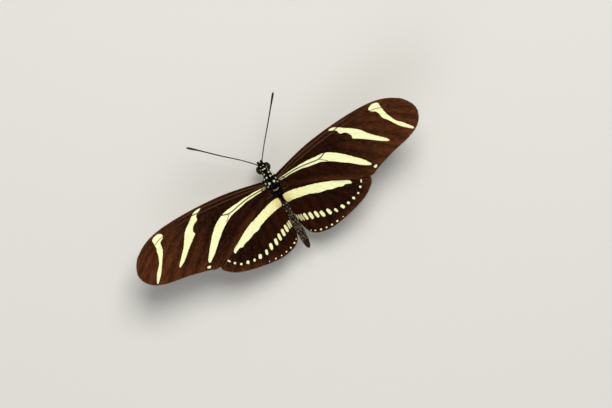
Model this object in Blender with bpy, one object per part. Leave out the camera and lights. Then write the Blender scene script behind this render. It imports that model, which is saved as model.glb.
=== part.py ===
"""Zebra longwing butterfly, life size, standing on its four walking legs with its wings spread.

The head points along -Y, the butterfly's left is +X, and the feet stand on z = 0. Plan measures are
pairs of (out from the midline, aft of the wing hinges). Every wing is a height field over such a plan.
"""

import math

import bmesh
import bpy
from mathutils import Vector
from mathutils.geometry import delaunay_2d_cdt

MM = 0.001

# The driving sizes, in metres: a forewing of 43 mm seen from above, and a body that it carries.
BODY_HEIGHT = 8.2 * MM
JOINT_GAP = 0.3 * MM
WING_THICKNESS = 0.5 * MM
VEIN_HEIGHT = 0.13 * MM
VEIN_HALF_WIDTH = 0.34 * MM

# Each wing rises from its hinge, flattens towards the tip and is arched from its front to its back edge.
HINGE_OUT = 2.0 * MM
FOREWING_HINGE_RISE = 1.8 * MM
HINDWING_HINGE_RISE = 0.5 * MM
FOREWING_SLOPE = 0.26
HINDWING_SLOPE = 0.245
TIP_FLATTENING = 1.2
WING_ARCH = 4.5
FOREWING_ARCH_AFT = 2.0 * MM
HINDWING_ARCH_AFT = 5.0 * MM

# The hindwing's inner border folds down beside the abdomen and in under it.
FOLD_DEPTH = 2.3 * MM
FOLD_OUT = 3.3 * MM
FOLD_WIDTH = 2.4 * MM
FOLD_START_AFT = 5.0 * MM
FOLD_END_AFT = 19.0 * MM
FOLD_RUN = 3.0 * MM

# The margins, in millimetres, from the front of the root round the tip and back.
FOREWING_MARGIN = [
    (1.0, -1.6), (5.3, -3.0), (13.5, -4.8), (22.5, -5.7), (31.0, -5.8), (37.0, -5.0), (41.5, -2.9),
    (44.3, 0.3), (44.9, 3.3), (43.2, 6.3), (39.5, 8.2), (33.5, 9.5), (28.0, 11.0), (24.6, 12.0),
    (19.0, 9.8), (12.5, 6.3), (6.0, 3.8), (2.6, 2.0), (1.0, 1.0),
]
HINDWING_MARGIN = [
    (0.9, 1.3), (3.0, 0.9), (6.0, 0.4), (11.0, 1.0), (16.5, 3.5), (21.0, 7.2), (23.7, 10.6),
    (24.3, 12.8), (23.0, 14.5), (20.5, 16.1), (17.0, 17.3), (13.0, 18.2), (8.6, 18.8), (5.6, 18.5),
    (3.5, 17.8), (2.2, 16.7), (1.45, 15.3), (1.0, 13.6), (0.8, 11.8), (0.8, 10.0), (1.0, 8.6),
    (1.35, 7.4), (1.4, 6.2), (1.15, 5.2), (0.95, 4.2),
]

# The main veins, in millimetres, from the wing's root or the vein that they leave to the margin.
FOREWING_VEINS = {
    "subcosta": [(1.3, -1.0), (8.0, -2.9), (15.0, -4.1), (22.0, -4.9), (28.0, -5.2)],
    "radius": [
        (1.3, -0.7), (8.0, -2.0), (16.0, -3.2), (24.0, -3.9), (31.0, -3.9), (35.5, -3.1), (40.0, -1.0),
        (44.0, 1.6),
    ],
    "radius_1": [(18.5, -3.5), (26.0, -4.6), (33.0, -5.2)],
    "radius_3": [(34.5, -3.4), (38.5, -3.2), (41.8, -2.0)],
    "radius_5": [(30.5, -3.8), (36.0, -1.3), (41.0, 2.2), (43.9, 4.6)],
    "media_1": [(24.0, -3.5), (30.5, -1.5), (37.0, 2.4), (41.9, 6.7)],
    "media_2": [(23.8, -1.9), (29.0, 0.3), (34.5, 4.2), (38.4, 8.1)],
    "media_3": [(21.8, -0.9), (26.0, 1.3), (31.0, 5.4), (34.7, 8.9)],
    "cell_end": [(24.0, -3.8), (24.3, -2.6), (23.6, -1.6), (21.8, -0.9), (19.0, -0.5)],
    "cubitus": [(1.3, -0.3), (7.3, -0.4), (11.0, 0.0), (14.6, 0.55), (17.0, -0.15), (19.0, -0.5)],
    "cubitus_1": [(19.0, -0.5), (22.0, 1.9), (27.0, 6.3), (31.2, 9.8)],
    "cubitus_2": [(14.6, 0.55), (16.5, 2.2), (20.0, 4.9), (24.0, 8.0), (27.5, 10.7)],
    "anal": [(1.3, 0.2), (7.0, 1.8), (14.0, 4.9), (20.0, 8.5), (24.3, 11.4)],
}
HINDWING_VEINS = {
    "subcosta": [(1.2, 2.0), (5.0, 1.6), (10.0, 2.3), (16.0, 5.0), (20.8, 8.4)],
    "radius": [(1.2, 2.4), (5.0, 2.9), (11.0, 5.0), (18.0, 9.2), (23.3, 12.4)],
    "media_1": [(9.6, 4.5), (11.2, 5.9), (16.0, 10.0), (21.2, 15.1)],
    "media_2": [(11.2, 5.9), (11.3, 7.2), (14.3, 11.6), (17.0, 16.7)],
    "media_3": [(8.6, 8.3), (10.3, 8.4), (11.8, 12.5), (12.8, 17.7)],
    "cell_end": [(11.3, 7.2), (10.3, 8.4)],
    "cubitus": [(1.2, 2.9), (3.6, 5.2), (5.6, 6.9), (8.6, 8.3), (8.9, 12.5), (8.5, 18.3)],
    "cubitus_2": [(5.6, 6.9), (6.0, 11.0), (5.1, 17.9)],
    "anal": [(1.2, 3.4), (2.8, 7.0), (3.0, 12.0), (2.6, 16.3)],
}

MARGIN_STEPS = 4
VEIN_STEPS = 3
FINEST_PLAN_MM = 0.03


def srgb(code):
    """A hex colour as the linear values that a shader takes."""
    parts = [int(code[i : i + 2], 16) / 255 for i in (1, 3, 5)]
    return [p / 12.92 if p < 0.04045 else ((p + 0.055) / 1.055) ** 2.4 for p in parts] + [1.0]


def material(name, code, roughness):
    made = bpy.data.materials.new(name)
    made.use_nodes = True
    shader = made.node_tree.nodes["Principled BSDF"]
    shader.inputs["Base Color"].default_value = srgb(code)
    shader.inputs["Roughness"].default_value = roughness
    shader.inputs["Metallic"].default_value = 0.0
    return made


def start_scene():
    for thing in list(bpy.data.objects):
        bpy.data.objects.remove(thing)


def mesh_object(name, points, faces, finish):
    mesh = bpy.data.meshes.new(name)
    mesh.from_pydata([tuple(p) for p in points], [], faces)
    mesh.update()
    mesh.materials.append(finish)
    made = bpy.data.objects.new(name, mesh)
    bpy.context.collection.objects.link(made)
    return made


def smooth_line(points, steps, closed=False):
    """A curve through every point, with this many stretches between each two."""
    count = len(points)
    spans = count if closed else count - 1
    line = []
    for i in range(spans):
        if closed:
            p = [points[(i + k) % count] for k in (-1, 0, 1, 2)]
        else:
            p = [points[min(max(i + k, 0), count - 1)] for k in (-1, 0, 1, 2)]
        for step in range(steps):
            t = step / steps
            line.append(
                0.5
                * (
                    2 * p[1]
                    + (p[2] - p[0]) * t
                    + (2 * p[0] - 5 * p[1] + 4 * p[2] - p[3]) * t**2
                    + (3 * p[1] - p[0] - 3 * p[2] + p[3]) * t**3
                )
            )
    return line if closed else line + [points[-1].copy()]


def ease(t):
    t = min(max(t, 0.0), 1.0)
    return t * t * (3 - 2 * t)


def forewing_height(out, aft):
    reach = max(out - HINGE_OUT, -HINGE_OUT)
    rise = FOREWING_SLOPE * reach - TIP_FLATTENING * reach * abs(reach)
    return BODY_HEIGHT + FOREWING_HINGE_RISE + rise - WING_ARCH * (aft - FOREWING_ARCH_AFT) ** 2


def hindwing_height(out, aft):
    reach = max(out - HINGE_OUT, -HINGE_OUT)
    rise = HINDWING_SLOPE * reach - TIP_FLATTENING * reach * abs(reach)
    fold = FOLD_DEPTH * ease((FOLD_OUT - out) / FOLD_WIDTH)
    fold *= ease((aft - FOLD_START_AFT) / FOLD_RUN) * ease((FOLD_END_AFT - aft) / FOLD_RUN)
    arch = WING_ARCH * (aft - HINDWING_ARCH_AFT) ** 2
    return BODY_HEIGHT + HINDWING_HINGE_RISE + rise - fold - arch


def offset_line(line, distance):
    """The line moved sideways by a distance that shrinks towards its end."""
    moved = []
    for i, point in enumerate(line):
        along = (line[min(i + 1, len(line) - 1)] - line[max(i - 1, 0)]).normalized()
        moved.append(point + Vector((-along.y, along.x)) * distance * vein_share(i / (len(line) - 1)))
    return moved


def vein_share(t):
    """A vein is thickest where it starts, and half as thick at the margin."""
    return 1.0 - 0.5 * t


def nearest_share(point, line):
    """(distance to the line, how far along it the nearest point is, from 0 to 1)."""
    best = (1e9, 0.0)
    for i in range(len(line) - 1):
        start, along = line[i], line[i + 1] - line[i]
        t = min(max((point - start).dot(along) / along.length_squared, 0.0), 1.0)
        best = min(best, ((point - start - along * t).length, (i + t) / (len(line) - 1)))
    return best


def wing(name, side, margin, veins, height, finish):
    """One closed sheet: both faces hold the same triangles, and each vein is a ridge raised in them."""
    plan = smooth_line([Vector(p) for p in margin], MARGIN_STEPS, closed=True)
    margin_count = len(plan)
    half_width = VEIN_HALF_WIDTH / MM
    crests, borders = [], []
    for points in veins.values():
        crest = smooth_line([Vector(p) for p in points], VEIN_STEPS)
        crests.append(crest)
        for line in (offset_line(crest, -half_width), crest, offset_line(crest, half_width)):
            first = len(plan)
            plan += line
            borders += [(first + i, first + i + 1) for i in range(len(line) - 1)]
    cut = delaunay_2d_cdt(plan, borders, [list(range(margin_count))], 1, FINEST_PLAN_MM)
    places, faces = cut[0], [list(f) for f in cut[2]]

    upper, lower = [], []
    for place in places:
        ridge = 0.0
        for crest in crests:
            distance, along = nearest_share(place, crest)
            share = vein_share(along)
            ridge = max(ridge, VEIN_HEIGHT * share * (1 - distance / (half_width * share)))
        out, aft = place * MM
        middle = height(out, aft)
        half = WING_THICKNESS / 2 + ridge
        upper.append((side * out, aft, middle + half))
        lower.append((side * out, aft, middle - half))

    count = len(places)
    sides = {}
    for face in faces:
        for a, b in zip(face, face[1:] + face[:1]):
            sides[(a, b)] = sides.get((a, b), 0) + 1
    walls = [(a, b) for a, b in sides if (b, a) not in sides]
    shell = list(faces)
    shell += [[count + i for i in reversed(face)] for face in faces]
    shell += [[b, a, count + a] for a, b in walls]
    shell += [[b, count + a, count + b] for a, b in walls]
    if side < 0:
        shell = [face[::-1] for face in shell]
    return mesh_object(name, upper + lower, shell, finish)


def face_outward(thing):
    made = bmesh.new()
    made.from_mesh(thing.data)
    bmesh.ops.recalc_face_normals(made, faces=made.faces)
    made.to_mesh(thing.data)
    made.free()


def ring_faces(rings, sides):
    """Quads between rings of points, with a flat end on the first and the last."""
    faces = [[i for i in reversed(range(sides))], [(rings - 1) * sides + i for i in range(sides)]]
    for r in range(rings - 1):
        for i in range(sides):
            j = (i + 1) % sides
            faces.append([r * sides + i, r * sides + j, (r + 1) * sides + j, (r + 1) * sides + i])
    return faces


def limb(name, marks, side, sides, finish, steps=2):
    """A round limb through marks of (out, aft, up, radius) in millimetres, flat where it meets the floor."""
    path = smooth_line([Vector(m) * MM for m in marks], steps)
    places = [mark.to_3d() for mark in path]
    across = (places[1] - places[0]).cross(Vector((0, 0, 1))).normalized()
    points = []
    for i, centre in enumerate(places):
        along = (places[min(i + 1, len(places) - 1)] - places[max(i - 1, 0)]).normalized()
        across = (across - along * across.dot(along)).normalized()
        upward = along.cross(across)
        for k in range(sides):
            turn = 2 * math.pi * (k + 0.5) / sides
            p = centre + (across * math.cos(turn) + upward * math.sin(turn)) * path[i].w
            points.append((side * p.x, p.y, max(p.z, 0.0)))
    made = mesh_object(name, points, ring_faces(len(path), sides), finish)
    face_outward(made)
    return made


def loft(name, stations, sides, finish, grown=0.0):
    """A body through stations of (aft, centre out, centre up, half width, half height) in millimetres."""
    points = []
    for n, station in enumerate(stations):
        aft, out, up, half_width, half_height = [v * MM for v in station]
        end = grown * (-1 if n == 0 else 1 if n == len(stations) - 1 else 0)
        for k in range(sides):
            turn = 2 * math.pi * k / sides
            points.append(
                Vector(
                    (
                        out + (half_width + grown) * math.cos(turn),
                        aft + end,
                        BODY_HEIGHT + up + (half_height + grown) * math.sin(turn),
                    )
                )
            )
    made = mesh_object(name, points, ring_faces(len(stations), sides), finish)
    face_outward(made)
    return made


def ellipsoid(name, centre, radii, finish, grown=0.0, segments=20, rings=12):
    made = bmesh.new()
    bmesh.ops.create_uvsphere(made, u_segments=segments, v_segments=rings, radius=1.0)
    for v in made.verts:
        v.co = Vector([c * MM + u * (r * MM + grown) for c, u, r in zip(centre, v.co, radii)])
        v.co.z += BODY_HEIGHT
    mesh = bpy.data.meshes.new(name)
    made.to_mesh(mesh)
    made.free()
    mesh.materials.append(finish)
    thing = bpy.data.objects.new(name, mesh)
    bpy.context.collection.objects.link(thing)
    return thing


def apply_boolean(thing, operation, other):
    change = thing.modifiers.new(operation.lower(), "BOOLEAN")
    change.operation = operation
    change.object = other
    change.solver = "EXACT"
    bpy.context.view_layer.objects.active = thing
    bpy.ops.object.modifier_apply(modifier=change.name)


def keep_largest(thing):
    """Leaves only the piece with the most faces of what a cut or a union made."""
    made = bmesh.new()
    made.from_mesh(thing.data)
    left, pieces = set(made.verts), []
    while left:
        piece, edge = set(), [left.pop()]
        while edge:
            vertex = edge.pop()
            piece.add(vertex)
            for link in vertex.link_edges:
                other = link.other_vert(vertex)
                if other in left:
                    left.discard(other)
                    edge.append(other)
        pieces.append(piece)
    pieces.sort(key=len)
    bmesh.ops.delete(made, geom=[v for piece in pieces[:-1] for v in piece], context="VERTS")
    made.to_mesh(thing.data)
    made.free()


def join(thing, extras):
    for extra in extras:
        apply_boolean(thing, "UNION", extra)
        bpy.data.objects.remove(extra)
    keep_largest(thing)


def cut(thing, cutters):
    for cutter in cutters:
        apply_boolean(thing, "DIFFERENCE", cutter)
    keep_largest(thing)


# The thorax: stations of (aft, out, up, half width, half height) in millimetres from the body's height.
THORAX = [
    (-2.9, 0, -0.1, 1.10, 1.15), (-2.6, 0, -0.05, 1.50, 1.55), (-2.0, 0, 0.0, 1.90, 1.95),
    (-1.0, 0, 0.05, 2.20, 2.25), (0.2, 0, 0.05, 2.30, 2.35), (1.4, 0, 0.0, 2.20, 2.20),
    (2.5, 0, -0.1, 1.95, 1.90), (3.4, 0, -0.3, 1.60, 1.50), (4.1, 0, -0.5, 1.20, 1.15),
    (4.6, 0, -0.7, 0.80, 0.80),
]
NECK = [
    (-5.0, 0, -0.2, 0.80, 0.80), (-4.0, 0, -0.2, 0.95, 1.00), (-3.5, 0, -0.15, 1.25, 1.30),
    (-3.2, 0, -0.1, 1.15, 1.20),
]
THORAX_SIDES = 24

# Lobes of the thorax as (centre, radii) in millimetres: the cap over each forewing's root, the bases
# of the walking legs, and the shield at the rear of the back.
PAIRED_LOBES = [
    ((1.45, -1.7, 1.55), (0.70, 0.95, 0.50)),
    ((1.05, -1.0, -1.40), (0.75, 0.85, 0.80)),
    ((0.95, 1.7, -1.40), (0.70, 0.90, 0.70)),
]
REAR_SHIELD = ((0.0, 2.9, 1.15), (0.90, 0.70, 0.60))

# The abdomen: its segments' ends, and its axis and girth, which fill out past the waist.
ABDOMEN_START = 4.9
ABDOMEN_END = 20.4
ABDOMEN_SEGMENTS = 8
ABDOMEN_BEND = 0.5
SEGMENT_GROOVE = 0.06
ABDOMEN_GIRTH = [
    (0.0, 0.62), (0.06, 0.76), (0.16, 0.86), (0.32, 1.02), (0.5, 1.14), (0.7, 1.16), (0.84, 1.04),
    (0.93, 0.80), (0.98, 0.50), (1.0, 0.25),
]
ABDOMEN_RISE = [(0.0, -0.85), (0.15, -0.75), (0.35, -0.25), (0.6, -0.1), (0.8, -0.25), (1.0, -0.65)]

HEAD_CENTRE = (0.0, -5.65, -0.15)
HEAD_RADII = (1.55, 1.38, 1.5)
HEAD_HALF_WIDTH = 1.0
EYE_CENTRE_OUT = 0.9
EYE_RADII = (0.97, 1.14, 1.27)
EYE_CENTRE_AFT = -5.7

# Limbs as marks of (out, aft, up from the floor, radius) in millimetres, from the body to the tip.
MIDDLE_LEG = [
    (0.9, -0.6, 7.2, 0.55), (1.6, -0.8, 5.9, 0.5), (2.4, -1.0, 5.6, 0.36), (4.3, -1.3, 6.9, 0.42),
    (6.4, -1.7, 8.0, 0.34), (6.9, -1.8, 7.8, 0.32), (8.2, -2.3, 4.0, 0.3), (9.4, -2.8, 0.7, 0.27),
    (9.9, -3.0, 0.14, 0.26), (11.2, -3.4, 0.14, 0.25), (12.8, -3.7, 0.14, 0.25),
]
HIND_LEG = [
    (0.8, 2.2, 7.0, 0.55), (1.5, 2.8, 5.9, 0.5), (2.1, 3.4, 5.5, 0.36), (3.8, 5.4, 6.4, 0.42),
    (5.4, 7.6, 7.1, 0.34), (5.8, 8.0, 6.9, 0.32), (6.9, 10.0, 3.6, 0.3), (8.0, 11.9, 0.7, 0.27),
    (8.3, 12.3, 0.14, 0.26), (9.0, 13.5, 0.14, 0.25), (9.7, 15.0, 0.14, 0.25),
]
FORELEG = [
    (0.75, -2.0, 6.6, 0.40), (0.9, -2.9, 5.75, 0.36), (1.05, -4.0, 5.1, 0.30), (1.06, -4.55, 4.75, 0.26),
    (1.05, -4.62, 4.3, 0.25), (1.0, -4.15, 4.0, 0.25), (0.95, -3.1, 4.15, 0.25), (0.95, -2.3, 4.3, 0.25),
]
ANTENNA_LEFT = [
    (0.4, -6.2, 8.4, 0.3), (0.75, -6.85, 9.0, 0.28), (1.5, -7.9, 9.7, 0.25), (4.3, -10.7, 11.0, 0.25),
    (8.5, -14.6, 12.5, 0.26), (12.4, -18.5, 13.6, 0.3), (14.2, -20.2, 14.0, 0.42),
    (15.0, -20.95, 14.15, 0.38), (15.4, -21.3, 14.2, 0.12),
]
ANTENNA_RIGHT = [
    (0.4, -6.2, 8.4, 0.3), (0.75, -6.85, 9.0, 0.28), (1.4, -7.95, 9.7, 0.25), (3.7, -11.0, 11.0, 0.25),
    (6.9, -14.4, 12.5, 0.26), (10.5, -18.6, 13.6, 0.3), (12.3, -20.8, 14.0, 0.42),
    (13.1, -21.6, 14.15, 0.38), (13.5, -22.0, 14.2, 0.12),
]
PALP = [
    (0.42, -6.1, 6.7, 0.34), (0.5, -6.75, 6.75, 0.36), (0.52, -7.35, 7.4, 0.34), (0.52, -7.55, 8.1, 0.26),
    (0.52, -7.6, 8.6, 0.12),
]

PROBOSCIS_TURNS = 1.75
PROBOSCIS_OUTER = 1.5
PROBOSCIS_PITCH = 0.66
PROBOSCIS_RADIUS = 0.18
PROBOSCIS_CENTRE = (-5.9, 5.05)
PROBOSCIS_STEPS_A_TURN = 16


def read_profile(profile, t):
    """The value at t of a profile of (place, value) pairs, eased from each to the next."""
    for (t0, v0), (t1, v1) in zip(profile, profile[1:]):
        if t <= t1:
            return v0 + (v1 - v0) * ease((t - t0) / (t1 - t0)) if t1 > t0 else v1
    return profile[-1][1]


def abdomen_stations():
    """Rings down the abdomen, with a shallow groove where each segment meets the next."""
    stations = []
    length = ABDOMEN_END - ABDOMEN_START
    for segment in range(ABDOMEN_SEGMENTS):
        for place, groove in ((0.0, 1.0), (0.14, 0.0), (0.5, -0.4), (0.86, 0.0)):
            t = (segment + place) / ABDOMEN_SEGMENTS
            depth = SEGMENT_GROOVE * groove if segment or place else 0.0
            girth = read_profile(ABDOMEN_GIRTH, t) - depth
            rise = read_profile(ABDOMEN_RISE, t)
            stations.append((ABDOMEN_START + length * t, ABDOMEN_BEND * t * t, rise, girth, girth * 1.04))
    stations.append((ABDOMEN_END, ABDOMEN_BEND, ABDOMEN_RISE[-1][1], 0.25, 0.26))
    return stations


def build_body(finishes):
    thorax_shell("thorax", finishes["thorax"], 0.0)
    loft("abdomen", abdomen_stations(), 14, finishes["abdomen"])

    head = ellipsoid("head", HEAD_CENTRE, HEAD_RADII, finishes["head"])
    flatten_sides(head, HEAD_HALF_WIDTH)
    neck = loft("neck", NECK, 16, finishes["thorax"])
    cut(neck, [grown_head()])
    for side, word in ((1, "left"), (-1, "right")):
        centre = (side * EYE_CENTRE_OUT, EYE_CENTRE_AFT, HEAD_CENTRE[2])
        eye = ellipsoid(f"eye_{word}", centre, EYE_RADII, finishes["eye"], segments=20, rings=14)
        face = side * (HEAD_HALF_WIDTH * MM + JOINT_GAP)
        slice_off(eye, Vector((face, 0, 0)), Vector((-side, 0, 0)))


def flatten_sides(thing, half_width):
    """Slices both sides off flat, where the eyes sit."""
    for side in (1, -1):
        slice_off(thing, Vector((side * half_width * MM, 0, 0)), Vector((side, 0, 0)))


def slice_off(thing, point, normal):
    """Removes what lies past a plane and closes the cut with a flat face."""
    made = bmesh.new()
    made.from_mesh(thing.data)
    geometry = made.verts[:] + made.edges[:] + made.faces[:]
    found = bmesh.ops.bisect_plane(made, geom=geometry, plane_co=point, plane_no=normal, clear_outer=True)
    rim = [e for e in found["geom_cut"] if isinstance(e, bmesh.types.BMEdge)]
    bmesh.ops.contextual_create(made, geom=rim)
    bmesh.ops.recalc_face_normals(made, faces=made.faces)
    made.to_mesh(thing.data)
    made.free()


def helper(thing):
    thing.hide_render = True
    thing.display_type = "WIRE"
    return thing


def thorax_shell(name, finish, grown):
    """The thorax with its lobes, grown by a gap where it is to cut what meets it."""
    shell = loft(name, THORAX, THORAX_SIDES, finish, grown)
    lobes = [REAR_SHIELD]
    for (out, aft, up), radii in PAIRED_LOBES:
        lobes += [((side * out, aft, up), radii) for side in (1, -1)]
    join(shell, [ellipsoid(f"{name}_lobe", *lobe, finish, grown, 14, 9) for lobe in lobes])
    return shell


def grown_thorax():
    return helper(thorax_shell("thorax_cutter", bpy.data.materials["dark_body"], JOINT_GAP))


def grown_head():
    finish = bpy.data.materials["dark_body"]
    return helper(ellipsoid("head_cutter", HEAD_CENTRE, HEAD_RADII, finish, grown=JOINT_GAP))


def proboscis_marks():
    """The tongue, rolled up under the head: it leaves the mouth forwards and winds down and back."""
    aft, up = PROBOSCIS_CENTRE
    marks = [(0.0, aft + 0.15, up + PROBOSCIS_OUTER + 1.0, PROBOSCIS_RADIUS)]
    steps = int(PROBOSCIS_TURNS * PROBOSCIS_STEPS_A_TURN)
    for step in range(steps + 1):
        turn = step / PROBOSCIS_STEPS_A_TURN
        reach = PROBOSCIS_OUTER - PROBOSCIS_PITCH * turn
        angle = 2 * math.pi * turn
        marks.append((0.0, aft - reach * math.sin(angle), up + reach * math.cos(angle), PROBOSCIS_RADIUS))
    return marks


def build_limbs(finishes):
    thorax, head = bpy.data.objects["thorax_cutter"], bpy.data.objects["head_cutter"]
    finish = finishes["limb"]
    for side, word in ((1, "left"), (-1, "right")):
        for name, marks in (("middle_leg", MIDDLE_LEG), ("hind_leg", HIND_LEG), ("foreleg", FORELEG)):
            cut(limb(f"{name}_{word}", marks, side, 10, finish), [thorax])
        antenna = ANTENNA_LEFT if side > 0 else ANTENNA_RIGHT
        cut(limb(f"antenna_{word}", antenna, side, 8, finish, steps=3), [head])
        cut(limb(f"palp_{word}", PALP, side, 8, finish), [head])
    cut(limb("proboscis", proboscis_marks(), 1, 8, finish, steps=1), [head])


def build_wings(finishes):
    thorax = bpy.data.objects["thorax_cutter"]
    for side, word in ((1, "left"), (-1, "right")):
        fore, hind = f"forewing_{word}", f"hindwing_{word}"
        cut(wing(fore, side, FOREWING_MARGIN, FOREWING_VEINS, forewing_height, finishes["wing"]), [thorax])
        cut(wing(hind, side, HINDWING_MARGIN, HINDWING_VEINS, hindwing_height, finishes["wing"]), [thorax])


def centre_on_floor():
    """Moves the whole butterfly so that the middle of its plan is the origin."""
    bpy.context.view_layer.update()
    shown = [o for o in bpy.data.objects if not o.hide_render]
    corners = [o.matrix_world @ v.co for o in shown for v in o.data.vertices]
    middle = [(min(c[i] for c in corners) + max(c[i] for c in corners)) / 2 for i in (0, 1)]
    for thing in bpy.data.objects:
        thing.location = (-middle[0], -middle[1], 0.0)


def main():
    start_scene()
    finishes = {
        "thorax": material("dark_body", "#15130F", 0.85),
        "head": material("dark_head", "#15130F", 0.8),
        "abdomen": material("brown_abdomen", "#33241C", 0.85),
        "wing": material("brown_wing", "#3A2014", 0.75),
        "limb": material("dark_limb", "#171210", 0.6),
        "eye": material("brown_eye", "#2A140C", 0.2),
    }
    build_body(finishes)
    grown_thorax()
    build_limbs(finishes)
    build_wings(finishes)
    centre_on_floor()


main()
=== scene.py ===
"""A zebra longwing butterfly, seen from straight above as a museum's still model on a pale floor.

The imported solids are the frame. Each section below makes one part of the butterfly over them, with
its own sizes, colours, mesh and material. Plan measures are millimetres (out from the body's middle
line, aft of the wing hinges), and the butterfly's left is +X.
"""

import math

import bpy
import numpy as np
from mathutils import Matrix, Vector
from mathutils.geometry import delaunay_2d_cdt


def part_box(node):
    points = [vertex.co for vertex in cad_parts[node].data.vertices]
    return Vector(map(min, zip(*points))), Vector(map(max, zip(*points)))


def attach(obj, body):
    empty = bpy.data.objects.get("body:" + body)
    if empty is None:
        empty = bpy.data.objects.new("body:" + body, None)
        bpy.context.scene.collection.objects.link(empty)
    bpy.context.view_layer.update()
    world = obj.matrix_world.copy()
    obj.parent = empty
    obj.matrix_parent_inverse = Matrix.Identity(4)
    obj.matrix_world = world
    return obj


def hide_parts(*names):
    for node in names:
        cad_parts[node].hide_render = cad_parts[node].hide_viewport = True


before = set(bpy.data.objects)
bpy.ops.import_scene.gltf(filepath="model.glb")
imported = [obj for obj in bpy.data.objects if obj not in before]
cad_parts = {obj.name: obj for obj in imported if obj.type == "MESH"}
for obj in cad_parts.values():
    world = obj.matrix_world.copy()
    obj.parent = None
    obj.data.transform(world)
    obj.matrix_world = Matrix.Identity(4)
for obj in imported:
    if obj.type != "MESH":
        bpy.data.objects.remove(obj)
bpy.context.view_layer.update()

MM = 0.001
bpy.ops.object.select_all(action="DESELECT")
chance = np.random.default_rng(7)

# The frame gives two places that the rest is measured from: the plan's origin between the wing
# hinges, 4.9 mm ahead of the abdomen, and the height of the body's axis, 0.15 mm over the head's middle.
ABDOMEN_START = 4.9
AFT_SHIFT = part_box("abdomen")[0][1] / MM - ABDOMEN_START
BODY_UP = (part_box("head")[0][2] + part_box("head")[1][2]) / 2 / MM + 0.15
SIDES = (("left", 1), ("right", -1))


# Wings
# Each is one membrane of chitin, far thinner than paper and stiffened by hollow veins. Rows of tiny
# flat scales cover both faces and give every colour. The four wings are arched, folded along their
# veins and fringed with longer scales at the margin.
FOREWING_MARGIN = [
    (1.0, -1.6), (5.3, -3.0), (13.5, -4.8), (22.5, -5.7), (31.0, -5.8), (37.0, -5.0), (41.5, -2.9),
    (44.3, 0.3), (44.9, 3.3), (43.2, 6.3), (39.5, 8.2), (33.5, 9.5), (28.0, 11.0), (24.6, 12.0),
    (19.0, 9.8), (12.5, 6.3), (6.0, 3.8), (2.6, 2.0), (1.0, 1.0),
]
HINDWING_MARGIN = [
    (0.9, 1.3), (3.0, 0.9), (6.0, 0.4), (11.0, 1.0), (16.5, 3.5), (21.0, 7.2), (23.7, 10.6),
    (24.3, 12.8), (23.0, 14.5), (20.5, 16.1), (17.0, 17.3), (13.0, 18.2), (8.6, 18.8), (5.6, 18.5),
    (3.5, 17.8), (2.2, 16.7), (1.45, 15.3), (1.0, 13.6), (0.75, 11.8), (0.7, 10.0), (0.75, 8.6),
    (0.85, 7.4), (0.7, 6.2), (0.55, 5.2), (0.6, 4.2),
]
FOREWING_VEINS = [
    [(1.3, -1.0), (8.0, -2.9), (15.0, -4.1), (22.0, -4.9), (28.0, -5.2)],
    [
        (1.3, -0.7), (8.0, -2.0), (16.0, -3.2), (24.0, -3.9), (31.0, -3.9), (35.5, -3.1), (40.0, -1.0),
        (44.0, 1.6),
    ],
    [(18.5, -3.5), (26.0, -4.6), (33.0, -5.2)],
    [(34.5, -3.4), (38.5, -3.2), (41.8, -2.0)],
    [(30.5, -3.8), (36.0, -1.3), (41.0, 2.2), (43.9, 4.6)],
    [(24.0, -3.5), (30.5, -1.5), (37.0, 2.4), (41.9, 6.7)],
    [(23.8, -1.9), (29.0, 0.3), (34.5, 4.2), (38.4, 8.1)],
    [(21.8, -0.9), (26.0, 1.3), (31.0, 5.4), (34.7, 8.9)],
    [(24.0, -3.8), (24.3, -2.6), (23.6, -1.6), (21.8, -0.9), (19.0, -0.5)],
    [(1.3, -0.3), (7.3, -0.4), (11.0, 0.0), (14.6, 0.55), (17.0, -0.15), (19.0, -0.5)],
    [(19.0, -0.5), (22.0, 1.9), (27.0, 6.3), (31.2, 9.8)],
    [(14.6, 0.55), (16.5, 2.2), (20.0, 4.9), (24.0, 8.0), (27.5, 10.7)],
    [(1.3, 0.2), (7.0, 1.8), (14.0, 4.9), (20.0, 8.5), (24.3, 11.4)],
]
HINDWING_VEINS = [
    [(1.2, 2.0), (5.0, 1.6), (10.0, 2.3), (16.0, 5.0), (20.8, 8.4)],
    [(1.2, 2.4), (5.0, 2.9), (11.0, 5.0), (18.0, 9.2), (23.3, 12.4)],
    [(9.6, 4.5), (11.2, 5.9), (16.0, 10.0), (21.2, 15.1)],
    [(11.2, 5.9), (11.3, 7.2), (14.3, 11.6), (17.0, 16.7)],
    [(8.6, 8.3), (10.3, 8.4), (11.8, 12.5), (12.8, 17.7)],
    [(11.3, 7.2), (10.3, 8.4)],
    [(1.2, 2.9), (3.6, 5.2), (5.6, 6.9), (8.6, 8.3), (8.9, 12.5), (8.5, 18.3)],
    [(5.6, 6.9), (6.0, 11.0), (5.1, 17.9)],
    [(1.2, 3.4), (2.8, 7.0), (3.0, 12.0), (2.6, 16.3)],
]

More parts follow.
